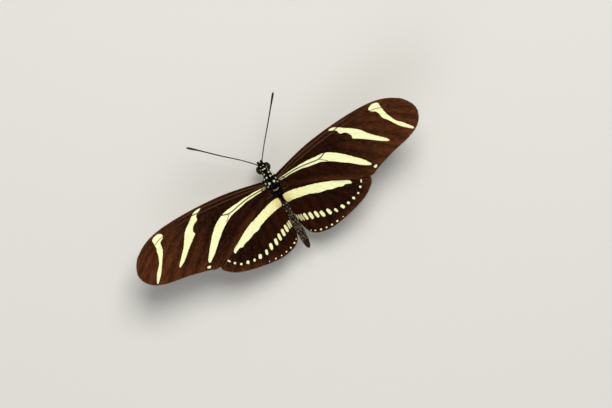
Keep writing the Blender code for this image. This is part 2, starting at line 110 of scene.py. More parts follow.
# The pale bands, as outlines, and the dark scales that cross them along a vein: (half width, line).
FOREWING_BANDS = [
    [
        (33.75, -4.2), (34.9, -4.75), (36.6, -4.25), (36.85, -3.2), (36.9, -1.9), (37.5, 0.3), (38.35, 2.4),
        (40.2, 4.5), (41.7, 6.6), (41.3, 7.0), (39.1, 4.85), (37.9, 3.15), (36.6, 1.25), (35.65, -0.4),
        (35.15, -2.3), (33.75, -3.35),
    ],
    [
        (20.8, -4.8), (21.6, -5.0), (23.1, -4.7), (25.25, -3.2), (28.0, -1.1), (30.6, 2.25), (33.7, 5.5),
        (34.2, 6.5), (33.8, 6.4), (32.0, 5.35), (29.3, 3.1), (27.4, 1.7), (25.7, 0.5), (25.8, -0.4),
        (25.4, -1.2), (24.6, -2.0), (23.35, -2.55), (22.8, -3.8),
    ],
    [
        (2.4, -0.6), (7.0, -0.95), (13.5, -0.6), (16.9, 0.0), (19.25, 1.2), (21.5, 3.1), (23.4, 5.1),
        (25.6, 7.7), (26.5, 9.0), (26.5, 9.45), (25.95, 9.4), (23.6, 7.8), (21.55, 6.0), (19.6, 4.55),
        (17.6, 3.05), (15.0, 1.7), (13.1, 1.15), (10.5, 0.65), (7.5, 0.15), (2.6, -0.05),
    ],
    [(26.6, 10.5), (27.3, 10.15), (27.8, 10.4), (27.1, 10.9)],
]
FOREWING_STROKES = [
    (0.16, FOREWING_VEINS[9]),
    (0.08, FOREWING_VEINS[11][:2]),
    (0.10, [(3.2, -1.0), (3.6, 0.2)]),
    (0.14, [(18.5, -3.5), (22.0, -4.05), (26.0, -4.6)]),
    (0.08, [(31.0, -3.9), (35.5, -3.1), (40.0, -1.0)]),
]
HINDWING_BANDS = [
    [
        (1.5, 3.75), (3.3, 3.9), (6.9, 4.85), (10.65, 6.0), (14.0, 7.35), (16.95, 9.0), (18.8, 10.0),
        (19.2, 10.9), (18.8, 11.1), (17.5, 10.55), (16.3, 10.5), (15.3, 10.0), (13.6, 9.75), (12.0, 9.1),
        (10.3, 8.75), (8.25, 7.8), (6.3, 7.25), (4.3, 6.8), (2.8, 6.5), (1.3, 6.4), (0.8, 6.0), (0.4, 5.0),
        (0.6, 4.0),
    ],
]
# Spots of the hindwing, from its outer corner to the body: (out, aft, half width, half length, lean).
HINDWING_SPOTS = [
    (21.6, 11.95, 0.26, 0.48, -30), (20.5, 13.25, 0.34, 0.34, 50), (19.15, 14.45, 0.34, 0.32, 42),
    (17.35, 14.95, 0.39, 0.45, 36), (15.4, 15.4, 0.40, 0.50, 30), (13.5, 15.4, 0.48, 0.66, 25),
    (11.4, 15.35, 0.41, 0.78, 20), (9.5, 14.6, 0.47, 0.98, 14), (7.6, 14.2, 0.48, 1.00, 10),
    (6.15, 13.5, 0.46, 1.08, 6), (4.6, 13.0, 0.45, 1.08, 5), (3.22, 12.45, 0.42, 1.10, 4),
    (2.3, 12.15, 0.23, 1.08, 3), (1.66, 11.9, 0.29, 1.05, 3), (1.05, 11.3, 0.15, 0.75, 3),
    (12.1, 17.9, 0.16, 0.15, 0), (10.1, 18.15, 0.21, 0.19, 0), (8.3, 18.25, 0.22, 0.20, 0),
    (6.6, 18.1, 0.25, 0.22, 0), (5.0, 17.75, 0.26, 0.24, 0), (3.42, 17.15, 0.24, 0.22, 0),
    (2.42, 16.5, 0.19, 0.19, 0),
]
# Crimson spots at the roots of the underside, given in the same way.
FOREWING_CRIMSON = [(2.9, -2.0, 0.9, 0.22, -12)]
HINDWING_CRIMSON = [
    (3.0, 1.5, 0.7, 0.3, 5), (4.3, 3.0, 0.35, 0.4, 0), (2.7, 3.2, 0.3, 0.4, 0), (2.6, 5.6, 0.3, 0.5, 0),
]

# Each wing rises outwards from its hinge, bends down towards its tip, and is lower fore and aft of
# its crest: (height at the hinge, rise, crest aft). The hindwing also folds down beside the abdomen.
# As the wings are thinner than the solids, each sits 0.42 mm closer to the other.
HINGE_OUT = 2.0
FOREWING_LIFT = (1.38, 0.26, 2.0)
HINDWING_LIFT = (0.92, 0.245, 5.0)
TIP_BEND = 0.0012
CREST_FALL = 0.0045
FOLD_DEPTH = 1.6
FOLD_START_OUT = 3.3
FOLD_WIDTH = 2.4
FOLD_AFT = (5.0, 19.0)
FOLD_EASE = 3.0

MEMBRANE_THICKNESS = 0.09
GRAIN = 0.30
ROW_PITCH = 0.866
GRAIN_SCATTER = 0.04
VEIN_HALF_WIDTH = 0.17
VEIN_RISE = 0.085
PLEAT_DEPTH = 0.10
PLEAT_REACH = 0.9
FAR = 9.0
SQUARE_SHOULDER = 0.7
# How far the loose points of the mesh keep from the margin and from a drawn line, in grains.
MARGIN_CLEAR = 0.4
LINE_CLEAR = 0.35
# Steps from each point to the next of a drawn margin, vein, stroke and band, and round a spot.
MARGIN_STEPS = 12
VEIN_STEPS = 10
STROKE_STEPS = 8
BAND_STEPS = 5
SPOT_STEPS = 14


def smooth_line(points, steps, closed=False):
    """A curve through every point, with this many steps from each to the next."""
    points = np.array(points, float)
    count = len(points)
    spans = count if closed else count - 1
    line = []
    for i in range(spans):
        near = [(i + k) % count if closed else min(max(i + k, 0), count - 1) for k in (-1, 0, 1, 2)]
        p = points[near]
        for t in np.arange(steps) / steps:
            bend = 2 * p[0] - 5 * p[1] + 4 * p[2] - p[3]
            twist = 3 * p[1] - p[0] - 3 * p[2] + p[3]
            line.append(0.5 * (2 * p[1] + (p[2] - p[0]) * t + bend * t**2 + twist * t**3))
    return np.array(line if closed else line + [points[-1]])


def spot(out, aft, half_width, half_length, lean):
    """The outline of a spot with square shoulders, leaning outwards as it runs aft."""
    turn = np.arange(SPOT_STEPS) * 2 * math.pi / SPOT_STEPS
    x = half_width * np.sign(np.cos(turn)) * np.abs(np.cos(turn)) ** SQUARE_SHOULDER
    y = half_length * np.sign(np.sin(turn)) * np.abs(np.sin(turn)) ** SQUARE_SHOULDER
    c, s = math.cos(math.radians(lean)), math.sin(math.radians(lean))
    return np.stack([out + x * c + y * s, aft - x * s + y * c], 1)


def distance_to(line, places, closed=False):
    """(distance of every place to a line, how far along the line it is, from 0 to 1)."""
    starts = line if closed else line[:-1]
    ends = np.roll(line, -1, axis=0) if closed else line[1:]
    run = ends - starts
    offset = places[:, None, :] - starts[None]
    t = np.clip((offset * run).sum(2) / np.maximum((run**2).sum(1), 1e-12), 0, 1)
    gap = np.linalg.norm(offset - t[..., None] * run, axis=2)
    nearest = gap.argmin(1)
    rows = np.arange(len(places))
    return gap[rows, nearest], (nearest + t[rows, nearest]) / len(starts)


def inside(outline, places):
    """Which places lie inside a closed outline."""
    x, y = places[:, :1], places[:, 1:]
    a, b = outline, np.roll(outline, -1, axis=0)
    crosses = (a[None, :, 1] > y) != (b[None, :, 1] > y)
    rise = np.where(b[:, 1] == a[:, 1], 1e-12, b[:, 1] - a[:, 1])
    edge = a[None, :, 0] + (y - a[None, :, 1]) * (b[:, 0] - a[:, 0]) / rise
    return (crosses & (x < edge)).sum(1) % 2 == 1


def depth_inside(outlines, places):
    """How deep each place lies inside the nearest outline, in millimetres. It is negative outside."""
    deepest = np.full(len(places), -FAR)
    for outline in outlines:
        gap = distance_to(outline, places, closed=True)[0]
        deepest = np.maximum(deepest, np.where(inside(outline, places), gap, -gap))
    return deepest


def unit(vectors):
    return vectors / np.maximum(np.linalg.norm(vectors, axis=-1, keepdims=True), 1e-9)


def ease(t):
    """A smooth step from 0 to 1."""
    t = np.clip(t, 0, 1)
    return t * t * (3 - 2 * t)


def wing_height(out, aft, up, rise, crest):
    """The height of a wing's middle in millimetres."""
    reach = np.maximum(out - HINGE_OUT, -HINGE_OUT)
    bend = TIP_BEND * reach * np.abs(reach) + CREST_FALL * (aft - crest) ** 2
    return BODY_UP + up + rise * reach - bend


def forewing_height(out, aft):
    return wing_height(out, aft, *FOREWING_LIFT)


def hindwing_height(out, aft):
    fold = FOLD_DEPTH * ease((FOLD_START_OUT - out) / FOLD_WIDTH)
    fold = fold * ease((aft - FOLD_AFT[0]) / FOLD_EASE) * ease((FOLD_AFT[1] - aft) / FOLD_EASE)
    return wing_height(out, aft, *HINDWING_LIFT) - fold


def edge_lines(line):
    """The two foot lines of a vein, which narrows by half towards its end."""
    run = unit(np.gradient(line, axis=0))
    half = VEIN_HALF_WIDTH * (1 - 0.5 * np.linspace(0, 1, len(line)))[:, None]
    sideways = np.stack([-run[:, 1], run[:, 0]], 1) * half
    return line + sideways, line - sideways


def wing_plan(outline, veins, bands, strokes):
    """Triangles over the wing's plan. Their edges follow the veins, the dark strokes and the borders of
    the pale marks. Each spot also has a ring within it and one round it, which keep narrow ones apart."""
    plan, borders = list(outline), []
    lines = [(line, False) for vein in veins for line in (vein, *edge_lines(vein))]
    lines += [(band, True) for band in bands]
    spots = [band for band in bands if len(band) == SPOT_STEPS]
    lines += [(s.mean(0) + (s - s.mean(0)) * scale, True) for s in spots for scale in (0.5, 1.5)]
    lines += [(stroke, False) for half_width, stroke in strokes]
    for line, closed in lines:
        first, count = len(plan), len(line)
        plan += list(line)
        borders += [(first + i, first + (i + 1) % count) for i in range(count if closed else count - 1)]
    low, high = outline.min(0), outline.max(0)
    rows = np.arange(low[1], high[1], GRAIN * ROW_PITCH)
    columns = np.arange(low[0], high[0], GRAIN)
    grid = np.array([(x + GRAIN / 2 * (j % 2), y) for j, y in enumerate(rows) for x in columns])
    grid += chance.uniform(-GRAIN_SCATTER, GRAIN_SCATTER, grid.shape)
    grid = grid[inside(outline, grid)]
    clear = distance_to(outline, grid, closed=True)[0] > GRAIN * MARGIN_CLEAR
    for line, closed in lines:
        clear[clear] = distance_to(line, grid[clear], closed)[0] > GRAIN * LINE_CLEAR
    plan += list(grid[clear])
    cut = delaunay_2d_cdt([Vector(p) for p in plan], borders, [list(range(len(outline)))], 1, 0.004)
    return np.array([tuple(p) for p in cut[0]]), [tuple(f) for f in cut[2]]


def keep_values(mesh, attributes):
    """Keeps measured values on the points of a mesh, for its material to read."""
    for label, values in attributes.items():
        kept = mesh.attributes.new(label, "FLOAT", "POINT")
        kept.data.foreach_set("value", np.asarray(values, np.float32))


def mesh_piece(name, points, faces, materials, attributes=None):
    """A named piece from points in millimetres, with what is measured at each."""
    mesh = bpy.data.meshes.new(name)
    mesh.from_pydata(np.asarray(points) * MM, [], faces)
    for made in materials:
        mesh.materials.append(made)
    keep_values(mesh, attributes or {})
    mesh.update()
    piece = bpy.data.objects.new(name, mesh)
    bpy.context.collection.objects.link(piece)
    return piece


def on_side(side, out, aft, up):
    """Points in space on one side of the body, from their plan and height."""
    return np.stack([side * out, aft + AFT_SHIFT, up], 1)


def forewing_flow(out, aft):
    """(across, along) the run of the forewing's veins, which slant back to the outer margin."""
    slant = math.radians(35)
    return aft * math.cos(slant) - out * math.sin(slant), out * math.cos(slant) + aft * math.sin(slant)


def hindwing_flow(out, aft):
    """(across, along) the run of the hindwing's veins, which fan out from its root."""
    return 14.0 * np.arctan2(aft, out - 3.0), np.hypot(out - 3.0, aft)


def wing(name, side, margin, veins, bands, strokes, crimson, height, flow):
    """Both faces of one wing: an upper and an under sheet on the same triangles, closed at the margin."""
    outline = smooth_line(margin, MARGIN_STEPS, closed=True)
    veins = [smooth_line(vein, VEIN_STEPS) for vein in veins]
    strokes = [(half_width, smooth_line(stroke, STROKE_STEPS)) for half_width, stroke in strokes]
    places, faces = wing_plan(outline, veins, bands, strokes)
    count = len(places)
    out, aft = places.T
    rim = distance_to(outline, places, closed=True)[0]
    gaps, along = np.array([distance_to(vein, places) for vein in veins]).swapaxes(0, 1)
    slim = 1 - 0.5 * along
    ridge = (VEIN_RISE * slim * np.clip(1 - gaps / (VEIN_HALF_WIDTH * slim), 0, 1)).max(0)
    crossed = [distance_to(stroke, places)[0] - half_width for half_width, stroke in strokes]
    pleat = PLEAT_DEPTH * (1 - np.exp(-((gaps.min(0) / PLEAT_REACH) ** 2))) * ease(rim / 1.5)
    middle = height(out, aft) - pleat
    half = MEMBRANE_THICKNESS / 2 + ridge * ease(rim / 0.3 + 0.2)
    upper, lower = on_side(side, out, aft, middle + half), on_side(side, out, aft, middle - half)
    edges = {(a, b): True for face in faces for a, b in zip(face, face[1:] + face[:1])}
    walls = [(a, b) for a, b in edges if (b, a) not in edges]
    shell = list(faces) + [tuple(count + i for i in reversed(f)) for f in faces]
    shell += [(b, a, count + a) for a, b in walls] + [(b, count + a, count + b) for a, b in walls]
    if side < 0:
        shell = [f[::-1] for f in shell]
    across, run = flow(out, aft)
    values = {
        "across": across + 100.0 * side,  # so that the two sides differ in grain
        "along": run,
        "front": gaps[:2].min(0),
        "band": depth_inside(bands, places),
        "stroke": np.min([np.full(count, FAR), *crossed], axis=0),
        "vein": gaps.min(0),
        "rim": rim,
        "crimson": depth_inside([spot(*s) for s in crimson], places),
    }
    values = {label: np.concatenate([v, v]) for label, v in values.items()}
    piece = mesh_piece(name, np.concatenate([upper, lower]), shell, [upper_scales, under_scales], values)
    under = np.zeros(len(shell), np.int32)
    under[len(faces) : 2 * len(faces)] = 1
    piece.data.polygons.foreach_set("material_index", under)
    bpy.context.view_layer.objects.active = piece
    piece.select_set(True)
    bpy.ops.object.shade_smooth_by_angle(angle=math.radians(50))
    piece.select_set(False)
    return piece, outline


def linear(code):
    """The linear colour of an sRGB hex code, with its alpha."""
    parts = [int(code[i : i + 2], 16) / 255 for i in (1, 3, 5)]
    return tuple(p / 12.92 if p <= 0.04045 else ((p + 0.055) / 1.055) ** 2.4 for p in parts) + (1.0,)


def add_node(tree, kind, inputs=None, **settings):
    """Adds a node with its settings. Each input is given its value, or is linked to the socket given."""
    made = tree.nodes.new("ShaderNode" + kind)
    for label, value in settings.items():
        setattr(made, label, value)
    for label, value in (inputs or {}).items():
        if isinstance(value, bpy.types.NodeSocket):
            tree.links.new(value, made.inputs[label])
        else:
            made.inputs[label].default_value = value
    return made


def add_shares(tree, at, rows):
    """Works out shares and keeps them by name in at. A row is (name, operation, measures). A measure is
    (name, start, end, low, high, shape): spread over that range, or taken as it is where none is given."""
    sockets = ("Value", "From Min", "From Max", "To Min", "To Max")
    for label, operation, *measures in rows:
        for k, (measure, *limits) in enumerate(measures):
            share = at[measure]
            if limits:
                shape = limits[4] if len(limits) > 4 else "LINEAR"
                inputs = dict(zip(sockets, (share, *limits)))
                share = add_node(tree, "MapRange", inputs, interpolation_type=shape).outputs[0]
            if k:
                share = add_node(tree, "Math", {0: at[label], 1: share}, operation=operation).outputs[0]
            at[label] = share


def add_layers(tree, at, base, layers):
    """A first colour with others laid over it in turn, each as (share, colour). A share without a
    colour brightens or dims what lies under it."""
    colour = linear(base)
    for share, over in layers:
        if over:
            inputs = {0: at[share], 6: colour, 7: linear(over)}
            colour = add_node(tree, "Mix", inputs, data_type="RGBA").outputs[2]
        else:
            inputs = {0: colour, "Scale": at[share]}
            colour = add_node(tree, "VectorMath", inputs, operation="SCALE").outputs[0]
    return colour


def new_material(name):
    made = bpy.data.materials.new(name)
    made.use_nodes = True
    made.node_tree.nodes.clear()
    return made, made.node_tree


def finish_material(tree, inputs):
    shader = add_node(tree, "BsdfPrincipled", inputs)
    add_node(tree, "OutputMaterial", {"Surface": shader.outputs["BSDF"]})


def wing_scales(name, root, middle, tip, pale, pale_root, wear_and_sheen, crimson=None):
    """Scaled membrane, which looks like dark velvet, almost without gloss. The scales lie in rows
    0.1 mm apart, drawn as a fine grain that breaks up the borders of the bands, and as a low relief of
    rows 0.3 mm apart, because finer ones don't show."""
    made, tree = new_material(name)
    place = add_node(tree, "TexCoord").outputs["Object"]
    parts = add_node(tree, "SeparateXYZ", {"Vector": place}).outputs
    at = {"aft": parts["Y"]}
    at["reach"] = add_node(tree, "Math", {0: parts["X"]}, operation="ABSOLUTE").outputs[0]
    for label in ("band", "stroke", "vein", "rim", "across", "along", "front"):
        at[label] = add_node(tree, "Attribute", attribute_name=label).outputs["Fac"]
    slow = add_node(tree, "Math", {0: at["along"], 1: 0.15}, operation="MULTIPLY").outputs[0]
    flow = add_node(tree, "CombineXYZ", {"X": at["across"], "Y": slow}).outputs[0]
    fine = add_node(tree, "VectorMath", {0: flow, 1: (2.6, 1.4, 1.0)}, operation="MULTIPLY").outputs[0]

    # Patterns over the wing, and three along the run of its veins. Each is (place, how many in a
    # millimetre, detail, roughness).
    patterns = {
        "grain": (place, 6.5 / MM, 2.0, 0.7),
        "mottle": (place, 1.3 / MM, 4.0, 0.65),
        "cloud": (place, 0.19 / MM, 3.0, 0.6),
        "streak": (flow, 1.5, 4.0, 0.7),
        "step": (flow, 0.9, 0.0, 0.6),
        "dusting": (fine, 3.0, 2.0, 0.7),
    }
    for label, values in patterns.items():
        inputs = dict(zip(("Vector", "Scale", "Detail", "Roughness"), values))
        at[label] = add_node(tree, "TexNoise", inputs).outputs["Fac"]

    # The ground changes outwards, is paler at its border, darker along the veins, and streaked where
    # scales are worn. Near the body its leading edge is lightened by a painted sheen. The pale marks are
    # yellower by the body. Their borders are ragged, less so by the body, and dark strokes cross them.
    rows = [
        ("middle", None, ("reach", 3 * MM, 20 * MM)),
        ("tip", None, ("reach", 19 * MM, 36 * MM)),
        ("border", "MULTIPLY", ("rim", 0.0, 2.6, 0.7, 0.0), ("reach", 4 * MM, 14 * MM)),
        (
            "gain", "MULTIPLY", ("vein", 0.08, 1.1, 0.60, 1.2), ("mottle", 0.3, 0.7, 0.75, 1.3),
            ("cloud", 0.3, 0.7, 0.8, 1.25), ("grain", 0.3, 0.7, 0.8, 1.2), ("streak", 0.3, 0.7, 0.45, 1.75),
        ),
        ("worn", "MULTIPLY", ("dusting", 0.50, 0.72, 0.0, 0.48), ("reach", 8 * MM, 30 * MM, 0.3, 1.0)),
        # A painted sheen: the leading edge near the body takes the lighter colour, as if it caught the light.
        ("wear_and_sheen", "MULTIPLY", ("front", 0.05, 0.18, 0.5, 0.0), ("reach", 24 * MM, 34 * MM, 1.0, 0.0)),
        ("pale", None, ("reach", 2 * MM, 12 * MM)),
        ("stain", "MULTIPLY", ("reach", 1.0 * MM, 3.4 * MM, 0.6, 0.0), ("aft", 8 * MM, 10 * MM, 1.0, 0.0)),
        ("dust", "MULTIPLY", ("mottle", 0.3, 0.7, 0.94, 1.04), ("streak", 0.3, 0.7, 0.93, 1.05)),
        (
            "ragged", "ADD", ("grain", 0.3, 0.7, -0.05, 0.05), ("mottle", 0.25, 0.75, -0.06, 0.06),
            ("step", 0.3, 0.7, -0.09, 0.07),
        ),
        ("uneven", "MULTIPLY", ("ragged",), ("reach", 2 * MM, 6 * MM, 0.35, 1.0)),
        ("depth", "ADD", ("uneven",), ("band",)),
        (
            "marked", "MULTIPLY", ("depth", -0.05, 0.06, 0.0, 1.0, "SMOOTHSTEP"),
            ("stroke", -0.03, 0.05, 0.1, 1.0, "SMOOTHSTEP"), ("rim", 0.1, 0.22),
        ),
    ]
    add_shares(tree, at, rows)
    ground = [("middle", middle), ("tip", tip), ("border", tip), ("gain", None), ("worn", wear_and_sheen)]
    ground = add_layers(tree, at, root, ground + [("wear_and_sheen", wear_and_sheen)])
    light = add_layers(tree, at, pale_root, [("pale", pale), ("stain", "#C9B25C"), ("dust", None)])
    inputs = {0: at["marked"], 6: ground, 7: light}
    colour = add_node(tree, "Mix", inputs, data_type="RGBA").outputs[2]
    if crimson:
        at["crimson"] = add_node(tree, "Attribute", attribute_name="crimson").outputs["Fac"]
        add_shares(tree, at, [("red", None, ("crimson", -0.05, 0.08))])
        inputs = {0: at["red"], 6: colour, 7: linear(crimson)}
        colour = add_node(tree, "Mix", inputs, data_type="RGBA").outputs[2]

    wave = {"Vector": place, "Scale": 1.6 / MM, "Distortion": 3.0, "Detail": 2.0, "Detail Scale": 3.0}
    wave = add_node(tree, "TexWave", wave, bands_direction="DIAGONAL").outputs["Fac"]
    relief = add_node(tree, "Math", {0: wave, 1: at["grain"]}, operation="ADD").outputs[0]
    inputs = {"Height": relief, "Strength": 0.35, "Distance": 0.03 * MM}
    bump = add_node(tree, "Bump", inputs).outputs["Normal"]
    inputs = {"Base Color": colour, "Roughness": 0.7, "Specular IOR Level": 0.012, "Normal": bump}
    finish_material(tree, inputs)
    return made


# The last colour of each is that of the worn streaks and of the painted sheen on the leading edge.
upper_scales = wing_scales(
    "wing_scales_upper", "#210C04", "#150501", "#42200C", "#F3F6BC", "#EDE8A8", "#6A4A38"
)
under_scales = wing_scales(
    "wing_scales_under", "#33211A", "#3A261C", "#5A4032", "#ECE9C4", "#E2DAAE", "#8C7660", "#A3161F"
)
forewing_marks = [smooth_line(b, BAND_STEPS, closed=True) for b in FOREWING_BANDS]
hindwing_marks = [smooth_line(b, BAND_STEPS, closed=True) for b in HINDWING_BANDS]
hindwing_marks += [spot(*s) for s in HINDWING_SPOTS]
plans = {
    "forewing": (
        FOREWING_MARGIN, FOREWING_VEINS, forewing_marks, FOREWING_STROKES, FOREWING_CRIMSON,
        forewing_height, forewing_flow,
    ),
    "hindwing": (
        HINDWING_MARGIN, HINDWING_VEINS, hindwing_marks, [], HINDWING_CRIMSON,
        hindwing_height, hindwing_flow,
    ),
}
margins = []
for word, side in SIDES:
    for label, plan in plans.items():
        piece, outline = wing(f"{label}_membrane_{word}", side, *plan)
        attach(piece, "root")
        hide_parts(f"{label}_{word}")
        margins.append((word, side, label, outline, plan[5]))


# Wing fringes
# Long narrow scales stand in two uneven rows along each wing's outer and hind margins. They are the
# same brown as the ground, a little paler at their tips.
FRINGE_SPACING = 0.032
FRINGE_LENGTH = 0.34
FRINGE_WIDTH = 0.045
FRINGE_LEAN = 0.18
FRINGE_SUNK = 0.15
# The fringe stands outwards and aft of these limits: (out, aft).
FRINGE_LIMITS = {"forewing": (24.0, -2.4), "hindwing": (1.9, 9.0)}
BAKE_PATCH = 0.0015
MAP_WIDTH = 50.0
MAP_START = (0.02, 0.2)


def spikes(name, roots, runs, widths, flat, unwrap, material, attributes=None, bend=None):
    """Many tapering tufts in one mesh. Each is a closed three-sided spike with a bend at its middle,
    and lies in a small patch of the bake map at its root's own place."""
    count = len(roots)
    along = unit(runs)
    flat = unit(flat - along * (flat * along).sum(1, keepdims=True))
    up = np.cross(flat, along)
    bend = np.zeros_like(roots) if bend is None else bend
    points, corner = np.zeros((count, 7, 3)), np.zeros((7, 2))
    template = [(0, 2, 1)]
    for k in range(3):
        j = (k + 1) % 3
        turn = 2 * math.pi * k / 3
        quarter = turn + math.pi / 2
        ring = (flat * math.cos(quarter) + up * math.sin(quarter) * 0.6) * widths[:, None] / 2
        points[:, k] = roots + ring
        points[:, 3 + k] = roots + runs * 0.5 + ring * 0.8 + bend * 0.35
        corner[k] = BAKE_PATCH * math.cos(turn), BAKE_PATCH * math.sin(turn)
        corner[3 + k] = corner[k] * 0.5
        template += [(k, j, 3 + j), (k, 3 + j, 3 + k), (3 + k, 3 + j, 6)]
    points[:, 6] = roots + runs + bend
    points[..., 2] = np.maximum(points[..., 2], 0.0)
    faces = (np.array(template)[None] + 7 * np.arange(count)[:, None, None]).reshape(-1, 3)
    values = {label: np.repeat(kept, 7) for label, kept in (attributes or {}).items()}
    values["tip"] = np.tile([0, 0, 0, 0.5, 0.5, 0.5, 1.0], count)
    piece = mesh_piece(name, points.reshape(-1, 3), faces.tolist(), [material], values)
    laid = (unwrap[:, None] + corner[None]).reshape(-1, 2)
    piece.data.uv_layers.new(name="OFBake").data.foreach_set("uv", laid[faces.reshape(-1)].reshape(-1))
    piece.data.polygons.foreach_set("use_smooth", np.ones(len(faces), bool))
    piece.data.update()
    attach(piece, "root")
    return piece


def tuft_material(name, root, tip, roughness, specular):
    """Loose scales or hairs, dull and soft, that change colour from root to tip."""
    made, tree = new_material(name)
    at = {"tip": add_node(tree, "Attribute", attribute_name="tip").outputs["Fac"]}
    colour = add_layers(tree, at, root, [("tip", tip)])
    finish_material(tree, {"Base Color": colour, "Roughness": roughness, "Specular IOR Level": specular})
    return made


fringe_scales = tuft_material("fringe_scales", "#2A140C", "#6B4A36", 0.75, 0.25)
for word, side, label, outline, height in margins:
    step = np.linalg.norm(np.roll(outline, -1, axis=0) - outline, axis=1)
    walked = np.concatenate([[0], np.cumsum(step)])
    stations = np.arange(0, walked[-1], FRINGE_SPACING)
    stations += chance.uniform(-0.02, 0.02, len(stations))
    loop = np.vstack([outline, outline[:1]])
    places = np.stack([np.interp(stations, walked, loop[:, i]) for i in (0, 1)], 1)
    ahead = np.stack([np.interp(stations + 0.1, walked, loop[:, i]) for i in (0, 1)], 1)
    run = unit(ahead - places)
    outward = np.stack([run[:, 1], -run[:, 0]], 1)
    free = (places > np.array(FRINGE_LIMITS[label])).all(1)
    places, outward, run = places[free], outward[free], run[free]
    count = len(places)
    size = FRINGE_LENGTH * chance.uniform(0.55, 1.1, count)
    flow = outward + run * chance.normal(0.0, FRINGE_LEAN, count)[:, None]
    runs = np.stack([side * flow[:, 0], flow[:, 1], chance.normal(0, 0.1, count)], 1) * size[:, None]
    roots = on_side(side, *places.T, height(*places.T)) - runs * FRINGE_SUNK
    widths = FRINGE_WIDTH * chance.uniform(0.8, 1.5, count)
    flat = np.stack([side * run[:, 0], run[:, 1], np.zeros(count)], 1)
    unwrap = places / MAP_WIDTH + np.array(MAP_START)
    piece = spikes(f"{label}_fringe_{word}", roots, runs, widths, flat, unwrap, fringe_scales)


# Wing root hair
# Fine rusty hairs lie over the hindwing beside the body, where they line the trough that the abdomen
# rests in. They grow from the brown ground only, and sweep back and outwards.
ROOT_HAIR_COUNT = 2400
ROOT_HAIR_LENGTH = 0.7
ROOT_HAIR_WIDTH = 0.028
ROOT_HAIR_OUT = (0.7, 3.4)
ROOT_HAIR_AFT = (6.4, 16.6)
ROOT_HAIR_RISE = (0.05, 0.16)

root_hair = tuft_material("wing_root_hair", "#2C1004", "#63300F", 0.65, 0.05)
for word, side, label, outline, height in margins:
    if label == "forewing":
        continue
    out = chance.uniform(*ROOT_HAIR_OUT, ROOT_HAIR_COUNT)
    places = np.stack([out, chance.uniform(*ROOT_HAIR_AFT, ROOT_HAIR_COUNT)], 1)
    lean = chance.normal(0.15, 0.2, ROOT_HAIR_COUNT)
    size = ROOT_HAIR_LENGTH * chance.uniform(0.5, 1.2, ROOT_HAIR_COUNT)
    ends = places + np.stack([np.sin(lean), np.cos(lean)], 1) * size[:, None]
    free = inside(outline, places) & inside(outline, ends)
    free &= (depth_inside(hindwing_marks, places) < -0.06) & (depth_inside(hindwing_marks, ends) < -0.02)
    free &= chance.random(ROOT_HAIR_COUNT) < ease((3.6 - places[:, 0]) / 1.4)  # thinner outwards
    places, ends = places[free], ends[free]
    count = len(places)
    roots = on_side(side, *places.T, height(*places.T) - MEMBRANE_THICKNESS / 2)
    tips = on_side(side, *ends.T, height(*ends.T) + chance.uniform(*ROOT_HAIR_RISE, count))
    widths = ROOT_HAIR_WIDTH * chance.uniform(0.7, 1.4, count)
    unwrap = places / MAP_WIDTH + np.array(MAP_START)
    flat = np.tile([1.0, 0.0, 0.0], (count, 1))
    piece = spikes(f"hindwing_hair_{word}", roots, tips - roots, widths, flat, unwrap, root_hair)


# Body
# Head, neck, thorax and abdomen share one skin of hard chitin plates. The plates overlap towards the
# tail, are black on the head and thorax and browner behind, and carry cream spots of dense scales.
TRUNK = [
    (-4.8, 0, -0.2, 0.70, 0.72), (-4.0, 0, -0.2, 0.85, 0.90), (-3.5, 0, -0.15, 1.15, 1.20),
    (-3.15, 0, -0.1, 1.02, 1.08), (-2.9, 0, -0.1, 1.10, 1.14), (-2.6, 0, -0.05, 1.42, 1.46),
    (-2.0, 0, 0.0, 1.80, 1.85), (-1.0, 0, 0.05, 2.08, 2.13), (0.2, 0, 0.05, 2.17, 2.22),
    (1.4, 0, 0.0, 2.07, 2.07), (2.5, 0, -0.1, 1.83, 1.78), (3.4, 0, -0.3, 1.48, 1.40),
    (4.1, 0, -0.5, 1.08, 1.06), (4.6, 0, -0.7, 0.74, 0.78),
]
ABDOMEN_LENGTH = 15.5
ABDOMEN_SEGMENTS = 8
ABDOMEN_GIRTH = [
    (0.0, 0.60), (0.06, 0.70), (0.16, 0.78), (0.32, 0.94), (0.5, 1.06), (0.7, 1.08), (0.84, 0.97),
    (0.93, 0.74), (0.98, 0.46), (1.0, 0.22),
]
ABDOMEN_RISE = [(0.0, -0.85), (0.15, -0.75), (0.35, -0.25), (0.6, -0.1), (0.8, -0.25), (1.0, -0.65)]
ABDOMEN_BEND = 0.5
ABDOMEN_TALLER = 1.04
SKIN_GRAIN = 0.11
SKIN_SIDES = 32

# Lumps as (out, aft, up, radii): the head, the lower face, the rear shield and the collar, and on
# each side the wing's shoulder plate, the collar's lobe and the hips of the middle and hind legs.
MIDDLE_LUMPS = [
    (0.0, -5.48, -0.15, (1.62, 1.38, 1.42)), (0.0, -6.45, -0.75, (0.75, 0.5, 0.65)),
    (0.0, 2.9, 1.10, (0.85, 0.62, 0.52)), (0.0, -3.3, 0.75, (0.95, 0.42, 0.5)),
]
SIDE_LUMPS = [
    (1.45, -1.7, 1.50, (0.64, 0.88, 0.46)), (0.95, -2.75, 0.95, (0.5, 0.42, 0.45)),
    (1.05, -1.0, -1.35, (0.70, 0.80, 0.76)), (0.95, 1.7, -1.35, (0.66, 0.86, 0.66)),
]

# Cream spots on the upper side of head and thorax, in pairs: (out, aft, radius).
CREAM_PAIRS = [
    (0.72, -3.74, 0.24), (0.60, -2.60, 0.27), (1.42, -2.56, 0.22), (1.66, -1.38, 0.20),
    (0.73, -0.80, 0.34), (1.46, -0.30, 0.22), (0.95, -4.55, 0.13), (0.42, -6.12, 0.13),
    (1.00, -5.28, 0.13), (1.62, -4.30, 0.17),
]
